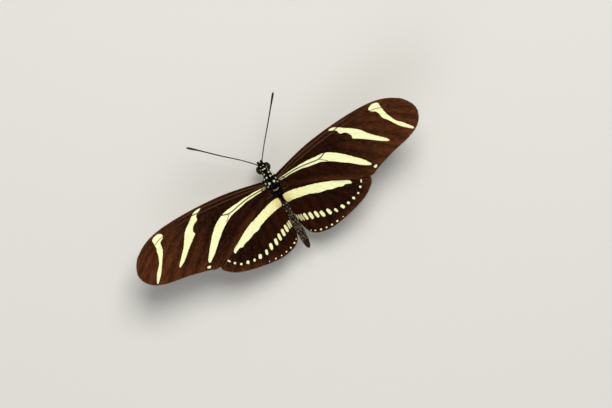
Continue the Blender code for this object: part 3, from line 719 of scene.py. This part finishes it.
# Rows of spots along the abdomen: (height over its axis, radius).
CREAM_ROWS = ((0.56, 0.13), (-0.30, 0.15))
EYE_CENTRE = (1.22, -5.40, -0.25)
EYE_RADII = (0.97, 1.22, 1.18)


def eased_profile(profile, t):
    """The values at t of a profile of (place, value) pairs, eased from each to the next."""
    places, values = np.array(profile).T
    at = np.clip(np.searchsorted(places, t, side="right") - 1, 0, len(places) - 2)
    return values[at] + (values[at + 1] - values[at]) * ease((t - places[at]) / (places[at + 1] - places[at]))


def body_place(points):
    """(out to either side, aft, up from the body's axis) of points in space."""
    return np.abs(points[:, 0]), points[:, 1] - AFT_SHIFT, points[:, 2] - BODY_UP


def tube_faces(rings, sides):
    """The faces of a closed tube through rings of points."""
    faces = [tuple(reversed(range(sides))), tuple((rings - 1) * sides + i for i in range(sides))]
    for r in range(rings - 1):
        for i in range(sides):
            j = (i + 1) % sides
            faces.append((r * sides + i, r * sides + j, (r + 1) * sides + j, (r + 1) * sides + i))
    return faces


def lobe(out, aft, up, radii):
    """A rounded lump of the body at this place."""
    bpy.ops.mesh.primitive_uv_sphere_add(
        segments=32, ring_count=20, radius=1.0, location=Vector((out, aft + AFT_SHIFT, up + BODY_UP)) * MM
    )
    made = bpy.context.active_object
    made.scale = Vector(radii) * MM
    bpy.ops.object.transform_apply(location=True, rotation=True, scale=True)
    made.select_set(False)
    return made


def join(parts):
    """Joins pieces into the first of them."""
    for part in parts:
        part.select_set(True)
    bpy.context.view_layer.objects.active = parts[0]
    bpy.ops.object.join()
    parts[0].select_set(False)


along = np.linspace(0, 1, 60)
girth = eased_profile(ABDOMEN_GIRTH, along)
bent, rise = ABDOMEN_BEND * along**2, eased_profile(ABDOMEN_RISE, along)
abdomen = np.stack([ABDOMEN_START + ABDOMEN_LENGTH * along, bent, rise, girth, girth * ABDOMEN_TALLER], 1)
turn = np.arange(SKIN_SIDES) * 2 * math.pi / SKIN_SIDES
rings = [
    np.stack([out + half_width * np.cos(turn), np.full(SKIN_SIDES, aft), up + half_height * np.sin(turn)], 1)
    for aft, out, up, half_width, half_height in [*TRUNK, *abdomen]
]
points = np.concatenate(rings) + np.array([0.0, AFT_SHIFT, BODY_UP])
skin = mesh_piece("body_skin", points, tube_faces(len(rings), SKIN_SIDES), [])
lumps = [lobe(*lump) for lump in MIDDLE_LUMPS]
for word, side in SIDES:
    lumps += [lobe(side * out, aft, up, radii) for out, aft, up, radii in SIDE_LUMPS]
join([skin, *lumps])
fused = skin.modifiers.new("fused", "REMESH")
fused.mode = "VOXEL"
fused.voxel_size = SKIN_GRAIN * MM
bpy.ops.object.modifier_apply(modifier="fused")
soft = skin.modifiers.new("soft", "SMOOTH")
soft.factor = 0.5
soft.iterations = 6
bpy.ops.object.modifier_apply(modifier="soft")

# The plates: each ring of the abdomen swells to its hind edge and steps down to the next. The thorax
# has a seam down its back, one before its rear shield and one at its collar.
points = np.array([v.co for v in skin.data.vertices]) / MM
normals = np.array([v.normal for v in skin.data.vertices])
out, aft, up = body_place(points)
share = (aft - ABDOMEN_START) / ABDOMEN_LENGTH * ABDOMEN_SEGMENTS % 1.0
swell = 0.07 * share**0.7 * ease((1 - share) / 0.1) - 0.02
plate = np.where((aft > ABDOMEN_START + 0.6) & (aft < 20.0), swell, 0.0)
back = ease((up - 1.2) / 0.6) * ease((aft + 2.6) / 0.6) * ease((2.4 - aft) / 0.5)
seam = -0.09 * np.exp(-((out / 0.09) ** 2)) * back
shield = -0.09 * np.exp(-(((aft - 2.35) / 0.1) ** 2)) * ease((up - 0.6) / 0.6)
collar = -0.08 * np.exp(-(((aft + 3.1) / 0.12) ** 2))
points += normals * (plate + seam + shield + collar)[:, None]
skin.data.vertices.foreach_set("co", (points * MM).reshape(-1))
skin.data.polygons.foreach_set("use_smooth", np.ones(len(skin.data.polygons), bool))
skin.data.update()


def eye_distance(out, aft, up):
    """The distance from an eye's centre, where 1 is its surface."""
    return sum(((a - c) / r) ** 2 for a, c, r in zip((out, aft, up), EYE_CENTRE, EYE_RADII)) ** 0.5


def cream_depth(places):
    """How far inside a cream mark each place of the body lies, in millimetres."""
    out, aft, up = body_place(places)
    # The pairs of spots, the bar between the feelers and the crescent on the thorax, from above.
    depth = np.full(len(places), -FAR)
    for mark_out, mark_aft, radius in CREAM_PAIRS:
        depth = np.maximum(depth, radius - np.hypot(out - mark_out, aft - mark_aft))
    bar = 0.13 - np.hypot(np.maximum(out - 0.42, 0), aft + 5.1)
    crescent = (0.13 - 0.06 * out) - np.abs(aft - 1.6 + 0.34 * out**2) - 2 * np.maximum(out - 0.92, 0)
    depth = np.where(up > 0.2, np.maximum(depth, np.maximum(bar, crescent)), -FAR)
    # The rim of the eye.
    gap = np.abs(eye_distance(out, aft, up) - 1 - 0.08)
    depth = np.maximum(depth, np.where((aft > -5.6) & (np.abs(up + 0.2) < 0.8), 0.04 - gap, -FAR))
    # The abdomen's rows of spots, its pale belly with scalloped edges, and the spots under the wings.
    step = (aft - ABDOMEN_START) / ABDOMEN_LENGTH
    segment = step * ABDOMEN_SEGMENTS
    over = up - eased_profile(ABDOMEN_RISE, np.clip(step, 0, 1))
    for height, radius in CREAM_ROWS:
        row = radius - np.hypot((segment % 1.0 - 0.72) * ABDOMEN_LENGTH / ABDOMEN_SEGMENTS, over - height)
        depth = np.where((aft > 5.6) & (aft < 18.0) & (out > 0.3), np.maximum(depth, row), depth)
    girth = eased_profile(ABDOMEN_GIRTH, np.clip(step, 0, 1))
    below = np.minimum(-over - 0.62 * girth + 0.1 * np.cos(2 * math.pi * segment), 0.2)
    depth = np.where((aft > 5.0) & (aft < 18.6), np.maximum(depth, below), depth)
    side_spots = 0.17 - np.hypot(np.mod(aft + 2.2, 1.25) - 0.62, up + 0.75)
    return np.where((aft > -2.2) & (aft < 2.8) & (out > 1.2), np.maximum(depth, side_spots), depth)


# Directions and pitch of the waves whose sum gathers the abdomen's painted glint into patches.
GLINT_WAVES = (
    (8.1, 3.0, 2.5), (-3.5, 10.2, -5.5), (5.5, -6.6, 8.3), (12.7, 6.1, -7.4), (-7.9, 13.3, 9.6),
    (3.1, 17.9, -11.7),
)


def body_glint(places):
    """How strongly a painted glint lightens the abdomen's scales, from 0 to 1. It gathers in small patches.
    """
    wave = 0
    for run in GLINT_WAVES:
        wave += np.sin(places @ np.array(run) + 1.7 * np.sin(places @ np.array(run[::-1]) * 0.37))
    return ease((wave - 0.7) / 1.4) * (1 - 0.75 * ease((places[:, 1] - AFT_SHIFT - 16.5) / 2.5))


def body_colour(tree, cream_code):
    """Black plates that turn brown on the abdomen, with a painted glint and the cream marks over them."""
    place = add_node(tree, "TexCoord").outputs["Object"]
    at = {"aft": add_node(tree, "SeparateXYZ", {"Vector": place}).outputs["Y"]}
    for label in ("cream", "glint_patches"):
        at[label] = add_node(tree, "Attribute", attribute_name=label).outputs["Fac"]
    mottle = {"Vector": place, "Scale": 3.2 / MM, "Detail": 3.0}
    at["mottle"] = add_node(tree, "TexNoise", mottle).outputs["Fac"]
    rows = [
        ("rear", None, ("aft", 5.5 * MM, 12.5 * MM)),
        ("tail", None, ("aft", 17 * MM, 20.5 * MM)),
        ("gain", None, ("mottle", 0.3, 0.7, 0.6, 1.5)),
        # The glint is a painted highlight, laid in pale patches over the abdomen from its middle back.
        ("glint", "MULTIPLY", ("glint_patches",), ("rear",)),
        ("marked", None, ("cream", -0.05, 0.05, 0.0, 1.0, "SMOOTHSTEP")),
    ]
    add_shares(tree, at, rows)
    layers = [("rear", "#160B07"), ("tail", "#280E09"), ("gain", None), ("glint", "#BCA28F")]
    return add_layers(tree, at, "#060508", layers + [("marked", cream_code)])


# Hard chitin with a fine pitted surface, which leaves it a dull black.
plates, tree = new_material("body_plates")
place = add_node(tree, "TexCoord").outputs["Object"]
pits = add_node(tree, "TexVoronoi", {"Vector": place, "Scale": 9 / MM}).outputs["Distance"]
bump = add_node(tree, "Bump", {"Height": pits, "Strength": 0.5, "Distance": 0.04 * MM}).outputs["Normal"]
colour = body_colour(tree, "#E9EBC0")
finish_material(tree, {"Base Color": colour, "Roughness": 0.6, "Normal": bump, "Specular IOR Level": 0.06})
skin.data.materials.clear()
skin.data.materials.append(plates)
points = np.array([v.co for v in skin.data.vertices]) / MM
# The skin keeps its cream marks and the strength of its painted glint.
keep_values(skin.data, {"cream": cream_depth(points), "glint_patches": body_glint(points) * 0.6})
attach(skin, "root")
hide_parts("head", "neck", "thorax", "abdomen")


# Body hair and scales
# Bristly scales clothe the body: upright and long on the thorax, short on the head, and laid flat
# towards the tail on the abdomen. Each takes the colour of the plate that it grows from.
THORAX_START = -2.9
# Head hair stands off the eyes, from this share of their radius on. A few tufts elsewhere are pale.
EYE_MARGIN = 0.99
STRAY_PALE = 0.022


def roots_on(piece, density, keep):
    """Random roots over a piece, with its normal there. density is tufts per square millimetre."""
    piece.data.calc_loop_triangles()
    corners = np.array([t.vertices for t in piece.data.loop_triangles])
    spots = np.array([v.co for v in piece.data.vertices]) / MM
    lie = np.array([v.normal for v in piece.data.vertices])
    a, b, c = spots[corners[:, 0]], spots[corners[:, 1]], spots[corners[:, 2]]
    area = np.linalg.norm(np.cross(b - a, c - a), axis=1) / 2
    number = int(area.sum() * density)
    picked = chance.choice(len(area), number, p=area / area.sum())
    u, v = chance.random((2, number))
    u, v = np.where(u + v > 1, 1 - u, u), np.where(u + v > 1, 1 - v, v)
    w = 1 - u - v
    roots = a[picked] * w[:, None] + b[picked] * u[:, None] + c[picked] * v[:, None]
    normal = unit((lie[corners[picked]] * np.stack([w, u, v], 1)[..., None]).sum(1))
    kept = keep(roots)
    return roots[kept], normal[kept]


def body_unwrap(roots):
    """The skin unrolled round the body's axis: along it one way, and round it the other."""
    turn = np.arctan2(roots[:, 0], roots[:, 2] - BODY_UP + 0.2) / (2 * math.pi) + 0.5
    return np.stack([(roots[:, 1] - AFT_SHIFT + 8.0) / 30.0, turn * 0.9 + 0.05], 1)


def on_head(roots):
    out, aft, up = body_place(roots)
    return (aft < THORAX_START) & (eye_distance(out, aft, up) > EYE_MARGIN)


def on_thorax(roots):
    aft = body_place(roots)[1]
    return (aft >= THORAX_START) & (aft < ABDOMEN_START)


def on_abdomen(roots):
    return body_place(roots)[1] >= ABDOMEN_START


# Hair-like scales, soft and dull, with painted shade at their roots and painted light towards their tips.
hair, tree = new_material("body_hair")
at = {"tip": add_node(tree, "Attribute", attribute_name="tip").outputs["Fac"]}
# Painted shade and light: each tuft is dimmed at its root and brightened towards its tip.
add_shares(tree, at, [("gain", None, ("tip", 0.0, 1.0, 0.8, 1.5))])
colour = {0: body_colour(tree, "#F0F2C8"), "Scale": at["gain"]}
colour = add_node(tree, "VectorMath", colour, operation="SCALE").outputs[0]
finish_material(tree, {"Base Color": colour, "Roughness": 0.55, "Specular IOR Level": 0.06})

# Name, tufts per square millimetre, where they grow, length, width, and how they stand and lie.
coats = (
    ("head_hair", 170, on_head, 0.26, 0.032, (0.9, 0.25)),
    ("thorax_hair", 125, on_thorax, 0.46, 0.036, (0.4, 0.8)),
    ("abdomen_scales", 150, on_abdomen, 0.26, 0.06, (0.22, 1.0)),
)
for name, density, keep, length, width, (stand, lay) in coats:
    roots, normal = roots_on(skin, density, keep)
    count = len(roots)
    cream = cream_depth(roots)
    if name != "abdomen_scales":
        cream = np.where(chance.random(count) < STRAY_PALE, np.maximum(cream, -0.015), cream)
    pale = cream > -0.02
    rearward = np.array([0.0, 1.0, 0.0]) - normal * normal[:, 1:2]
    flow = unit(normal * stand + rearward * lay + chance.normal(0, 0.1, (count, 3)))
    size = (length * chance.uniform(0.6, 1.25, count) * np.where(pale, 0.62, 1.0))[:, None]
    widths = width * chance.uniform(0.8, 1.3, count) * np.where(pale, 1.5, 1.0)
    # Each tuft carries the painted glint of its place, at a random strength.
    values = {"cream": cream, "glint_patches": body_glint(roots) * chance.uniform(0.3, 1.0, count)}
    piece = spikes(
        name, roots - normal * 0.01, flow * size, widths, np.cross(normal, flow), body_unwrap(roots), hair,
        values, bend=(rearward * 0.12 - normal * stand * 0.25) * size,
    )


# Eyes
# Two large compound eyes stand out from the sides of the head. Each is a dome of thousands of hard
# clear lenses, 0.03 mm across, over dark brown pigment. They are drawn at twice that size to show.
LENS_ACROSS = 1 / 15
EYE_CUT = 0.6


def face_outwards(piece, degrees):
    """Turns the faces of a closed piece outwards and shades it smooth across edges up to this angle."""
    bpy.context.view_layer.objects.active = piece
    piece.select_set(True)
    bpy.ops.object.mode_set(mode="EDIT")
    bpy.ops.mesh.select_all(action="SELECT")
    bpy.ops.mesh.normals_make_consistent(inside=False)
    bpy.ops.object.mode_set(mode="OBJECT")
    bpy.ops.object.shade_smooth_by_angle(angle=math.radians(degrees))
    piece.select_set(False)


# Clear hard lenses, smooth enough for a small bright glint on each eye.
eye_lenses, tree = new_material("compound_eye")
place = add_node(tree, "TexCoord").outputs["Object"]
lenses = {"Vector": place, "Scale": 1 / (LENS_ACROSS * MM)}
lenses = add_node(tree, "TexVoronoi", lenses).outputs["Distance"]
cloud = {"Vector": place, "Scale": 0.9 / MM, "Detail": 2.0}
at = {"cloud": add_node(tree, "TexNoise", cloud).outputs["Fac"]}
add_shares(tree, at, [("lighter", None, ("cloud", 0.35, 0.65))])
colour = add_layers(tree, at, "#160804", [("lighter", "#331509")])
bump = {"Height": lenses, "Strength": 0.25, "Distance": 0.02 * MM}
bump = add_node(tree, "Bump", bump, invert=True).outputs["Normal"]
finish_material(tree, {"Base Color": colour, "Roughness": 0.25, "Normal": bump, "Specular IOR Level": 0.10})
for word, side in SIDES:
    eye = lobe(side * EYE_CENTRE[0], EYE_CENTRE[1], EYE_CENTRE[2], EYE_RADII)
    eye.name = f"eye_dome_{word}"
    eye.select_set(True)
    bpy.ops.object.mode_set(mode="EDIT")
    bpy.ops.mesh.select_all(action="SELECT")
    inner = (side * EYE_CUT * MM, 0, 0)
    bpy.ops.mesh.bisect(plane_co=inner, plane_no=(-side, 0, 0), use_fill=True, clear_outer=True)
    face_outwards(eye, 50)
    eye.data.materials.clear()
    eye.data.materials.append(eye_lenses)
    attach(eye, "root")
    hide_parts(f"eye_{word}")


# Feelers
# Each antenna is a chain of some forty short black segments that thickens into a slim club.
ANTENNA_PATHS = {
    "left": [
        (0.52, -6.1, 8.6, 0.22), (0.76, -6.55, 9.0, 0.19), (1.5, -7.65, 9.7, 0.15), (4.3, -10.65, 11.0, 0.15),
        (8.5, -14.6, 12.5, 0.17), (12.4, -18.5, 13.6, 0.20), (14.2, -20.2, 14.0, 0.31),
        (15.0, -20.95, 14.15, 0.29), (15.4, -21.3, 14.2, 0.12),
    ],
    "right": [
        (0.42, -6.1, 8.6, 0.22), (0.5, -6.65, 9.0, 0.19), (1.15, -7.85, 9.7, 0.15), (3.7, -10.95, 11.0, 0.15),
        (6.85, -14.45, 12.5, 0.17), (10.5, -18.6, 13.6, 0.20), (12.35, -20.75, 14.0, 0.31),
        (13.1, -21.6, 14.15, 0.29), (13.5, -22.0, 14.2, 0.12),
    ],
}


def limb(name, marks, side, sides, ring_length=0.0, ring_depth=0.0, steps=6):
    """A limb through marks of (out, aft, up from the floor, radius), drawn in at each ring or joint."""
    path = smooth_line(marks, steps)
    walked = np.concatenate([[0], np.cumsum(np.linalg.norm(np.diff(path[:, :3], axis=0), axis=1))])
    if ring_length:
        rings = max(int(walked[-1] / ring_length), 1)
        stations = np.linspace(0, walked[-1], rings * 4 + 1)
        path = np.stack([np.interp(stations, walked, path[:, i]) for i in range(4)], 1)
        path[:, 3] *= 1 - ring_depth * (np.arange(len(path)) % 4 == 0)
    across = np.array([1.0, 0.0, 0.0])
    points = []
    for i, (out, aft, up, radius) in enumerate(path):
        run = unit(path[min(i + 1, len(path) - 1), :3] - path[max(i - 1, 0), :3])
        across = unit(across - run * across.dot(run))
        upward = np.cross(run, across)
        for k in range(sides):
            turn = 2 * math.pi * k / sides
            ring = (across * math.cos(turn) + upward * math.sin(turn)) * radius
            points.append((side * (out + ring[0]), aft + ring[1] + AFT_SHIFT, max(up + ring[2], 0.0)))
    piece = mesh_piece(name, points, tube_faces(len(path), sides), [])
    face_outwards(piece, 60)
    return piece


def chitin(name, dark, light, roughness, flecks):
    """Hard polished skin of a limb, black with a brown cast, lighter in small flecks of scales. flecks
    is how many there are in a millimetre."""
    made, tree = new_material(name)
    place = add_node(tree, "TexCoord").outputs["Object"]
    inputs = {"Vector": place, "Scale": flecks / MM, "Detail": 3.0}
    at = {"fleck": add_node(tree, "TexNoise", inputs).outputs["Fac"]}
    add_shares(tree, at, [("lighter", None, ("fleck", 0.45, 0.75))])
    colour = add_layers(tree, at, dark, [("lighter", light)])
    inputs = {"Height": at["fleck"], "Strength": 0.4, "Distance": 0.02 * MM}
    bump = add_node(tree, "Bump", inputs).outputs["Normal"]
    inputs = {"Base Color": colour, "Roughness": roughness, "Normal": bump, "Specular IOR Level": 0.2}
    finish_material(tree, inputs)
    return made


antenna_skin = chitin("antenna_chitin", "#0C0908", "#2B2119", 0.5, 7)
for word, side in SIDES:
    antenna = limb(f"antenna_chain_{word}", ANTENNA_PATHS[word], side, 12, ring_length=0.5, ring_depth=0.14)
    antenna.data.materials.append(antenna_skin)
    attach(antenna, "root")
    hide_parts(f"antenna_{word}")


# Mouthparts
# Two hairy palps turn up before the face, and between them the sucking tongue is rolled up like a
# watch spring. The tongue is hard, brown and ringed, about 0.2 mm thick.
PALP_MARKS = [
    (0.42, -6.3, 6.75, 0.30), (0.5, -6.8, 6.8, 0.34), (0.52, -7.3, 7.4, 0.32), (0.52, -7.5, 8.1, 0.24),
    (0.52, -7.55, 8.6, 0.08),
]
TONGUE_TURNS = 1.75
TONGUE_STEPS = 70
TONGUE_RADIUS = (1.5, 0.66)
TONGUE_CENTRE = (-5.9, 5.05)
LIMB_HAIR_WIDTH = 0.035


def limb_hair(name, piece, density, clear, stand, sweep, scatter, lengths, is_pale, unwrap):
    """Short hair on a limb, pale where is_pale says so of its roots and normals."""
    roots, normal = roots_on(piece, density, lambda r: r[:, 2] > clear)
    flow = normal * stand + np.array(sweep) + chance.normal(0, scatter, roots.shape)
    runs = unit(flow) * chance.uniform(*lengths, len(roots))[:, None]
    widths = np.full(len(roots), LIMB_HAIR_WIDTH)
    cream = {"cream": np.where(is_pale(roots, normal), 0.2, -0.4)}
    return spikes(name, roots, runs, widths, np.cross(normal, flow), unwrap(roots), hair, cream)


palp_skin = chitin("palp_chitin", "#0F0C0A", "#3A3328", 0.7, 6)
for word, side in SIDES:
    palp = limb(f"palp_{word}_visual", PALP_MARKS, side, 12)
    palp.data.materials.append(palp_skin)
    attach(palp, "root")
    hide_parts(f"palp_{word}")
    coat = limb_hair(
        f"palp_hair_{word}", palp, 260, 0, 0.45, (0, -0.2, 0.9), 0.12, (0.14, 0.3),
        lambda r, n: (n[:, 0] * side > 0.5) & (r[:, 2] < 7.6), body_unwrap,
    )

turns = np.linspace(0, TONGUE_TURNS, TONGUE_STEPS)
reach = TONGUE_RADIUS[0] - TONGUE_RADIUS[1] * turns
aft = TONGUE_CENTRE[0] - reach * np.sin(2 * math.pi * turns)
up = TONGUE_CENTRE[1] + reach * np.cos(2 * math.pi * turns)
coil = np.stack([np.zeros(TONGUE_STEPS), aft, up, 0.15 - 0.03 * turns], 1)
coil = [(0.0, -5.75, 7.55, 0.17), *coil]
tongue = limb("tongue", coil, 1, 12, ring_length=0.16, ring_depth=0.1, steps=1)
tongue.data.materials.append(chitin("tongue_chitin", "#2A170D", "#54331D", 0.35, 9))
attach(tongue, "root")
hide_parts("proboscis")


# Legs
# Four walking legs carry the body, and the small first pair is folded under the neck as in all
# brush-footed butterflies. Each has a stout thigh, a straight spined shin and a foot of five short
# pieces that ends in two claws.
LEG_MARKS = {
    "middle_leg": [
        (0.9, -0.6, 7.2, 0.5), (1.6, -0.8, 5.9, 0.46), (2.4, -1.0, 5.6, 0.3), (3.2, -1.13, 6.1, 0.36),
        (4.6, -1.35, 7.05, 0.36), (6.2, -1.68, 7.95, 0.26), (6.75, -1.78, 7.95, 0.22), (7.1, -1.9, 7.2, 0.24),
        (8.2, -2.3, 4.0, 0.22), (9.2, -2.72, 1.3, 0.19), (9.55, -2.86, 0.5, 0.18),
    ],
    "hind_leg": [
        (0.8, 2.2, 7.0, 0.5), (1.5, 2.8, 5.9, 0.46), (2.1, 3.4, 5.5, 0.3), (2.8, 4.2, 5.9, 0.36),
        (4.0, 5.7, 6.5, 0.36), (5.3, 7.45, 7.05, 0.26), (5.7, 7.9, 7.0, 0.22), (6.0, 8.4, 6.3, 0.24),
        (6.9, 10.0, 3.6, 0.22), (7.8, 11.6, 1.2, 0.19), (8.05, 12.05, 0.5, 0.18),
    ],
}
FOOT_MARKS = {
    "middle_leg": [
        (9.5, -2.84, 0.45, 0.15), (9.9, -3.0, 0.2, 0.16), (11.2, -3.4, 0.16, 0.16), (12.5, -3.66, 0.16, 0.15),
    ],
    "hind_leg": [
        (8.02, 12.0, 0.45, 0.15), (8.3, 12.3, 0.2, 0.16), (9.0, 13.5, 0.16, 0.16), (9.6, 14.8, 0.16, 0.15),
    ],
}
# A claw from the foot's end: (ahead, aside, up from the floor, radius).
CLAW_MARKS = (
    (-0.1, 0.03, 0.16, 0.07), (0.15, 0.12, 0.2, 0.06), (0.3, 0.16, 0.13, 0.04), (0.36, 0.16, 0.03, 0.015),
)
FORELEG_MARKS = [
    (0.75, -2.0, 6.6, 0.36), (0.9, -2.9, 5.75, 0.30), (1.05, -4.0, 5.1, 0.24), (1.06, -4.55, 4.75, 0.20),
    (1.05, -4.62, 4.3, 0.17), (1.0, -4.15, 4.0, 0.16), (0.95, -3.1, 4.15, 0.14), (0.95, -2.3, 4.3, 0.08),
]
leg_skin = chitin("leg_chitin", "#0E0A08", "#3B332A", 0.5, 5)


def claw(foot, turn, side):
    """A claw that leaves the foot's end, bows to one side and touches the floor with its point."""
    before, end = Vector(foot[-2][:2]), Vector(foot[-1][:2])
    ahead = (end - before).normalized()
    sideways = Vector((-ahead.y, ahead.x)) * turn
    marks = [(*(end + ahead * on + sideways * aside), up, radius) for on, aside, up, radius in CLAW_MARKS]
    return limb("claw", marks, side, 8)


def leg_unwrap(roots):
    return np.stack([roots[:, 1] / 40 + 0.3, roots[:, 2] / 12 + 0.1], 1)


for word, side in SIDES:
    for label, marks in LEG_MARKS.items():
        leg, foot = limb("shin", marks, side, 14), FOOT_MARKS[label]
        parts = [leg, limb("foot", foot, side, 12, ring_length=0.62, ring_depth=0.3)]
        parts += [claw(foot, turn, side) for turn in (1, -1)]
        join(parts)
        leg.name = f"{label}_limb_{word}"
        leg.data.materials.append(leg_skin)
        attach(leg, "root")
        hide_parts(f"{label}_{word}")
        coat = limb_hair(
            f"{label}_bristles_{word}", leg, 34, 0.12, 0.6, (0.35 * side, 0.1, -0.4), 0.15, (0.1, 0.24),
            lambda r, n: (n[:, 2] < -0.2) & (r[:, 2] > 4.5), leg_unwrap,
        )
    foreleg = limb(f"foreleg_limb_{word}", FORELEG_MARKS, side, 12)
    foreleg.data.materials.append(leg_skin)
    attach(foreleg, "root")
    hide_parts(f"foreleg_{word}")


# Floor, lights and camera
# The model stands on a matt pale floor under two large soft lamps. The camera looks straight down
# from 643 mm over the wings, which is 647 mm over the body, with the head to the upper left.
BUTTERFLY_AT = (0, 0, 0.01)
VIEW_TURN = math.radians(31.3)
VIEW_CENTRE = (-5.06, 9.47)
VIEW_HEIGHT = 647.0

floor_paper, tree = new_material("floor_paper")
finish_material(tree, {"Base Color": linear("#DAD8D2"), "Roughness": 0.9, "Specular IOR Level": 0.1})
bpy.ops.mesh.primitive_plane_add(size=3.0, location=(0, 0, 0))
floor = bpy.context.active_object
floor.name = "floor"
floor.data.materials.append(floor_paper)


def lamp(name, place, size, power, colour):
    """A square soft lamp that faces the butterfly."""
    light = bpy.data.lights.new(name, "AREA")
    light.size = size
    light.energy = power
    light.color = colour
    made = bpy.data.objects.new(name, light)
    made.location = place
    made.rotation_euler = (Vector(BUTTERFLY_AT) - Vector(place)).to_track_quat("-Z", "Y").to_euler()
    bpy.context.collection.objects.link(made)


lamp("key", (-0.28, -0.30, 0.82), 0.5, 7.3, (1.0, 0.985, 0.95))
lamp("fill", (0.6, 0.5, 0.6), 0.7, 2.4, (0.95, 0.98, 1.0))
world = bpy.data.worlds.new("studio")
world.use_nodes = True
world.node_tree.nodes["Background"].inputs["Color"].default_value = linear("#EEF1F4")
world.node_tree.nodes["Background"].inputs["Strength"].default_value = 0.30
bpy.context.scene.world = world
bpy.context.scene.view_settings.view_transform = "Standard"

right = Vector((-math.cos(VIEW_TURN), math.sin(VIEW_TURN), 0))
above = Vector((-math.sin(VIEW_TURN), -math.cos(VIEW_TURN), 0))
view_at = Vector((VIEW_CENTRE[0], VIEW_CENTRE[1] + AFT_SHIFT, BODY_UP + VIEW_HEIGHT)) * MM
lens = bpy.data.cameras.new("camera")
lens.lens = 135
lens.sensor_width = 36
camera = bpy.data.objects.new("camera", lens)
turned = Matrix((right, above, Vector((0, 0, 1)))).transposed().to_4x4()
camera.matrix_world = Matrix.Translation(view_at) @ turned
bpy.context.collection.objects.link(camera)
bpy.context.scene.camera = camera
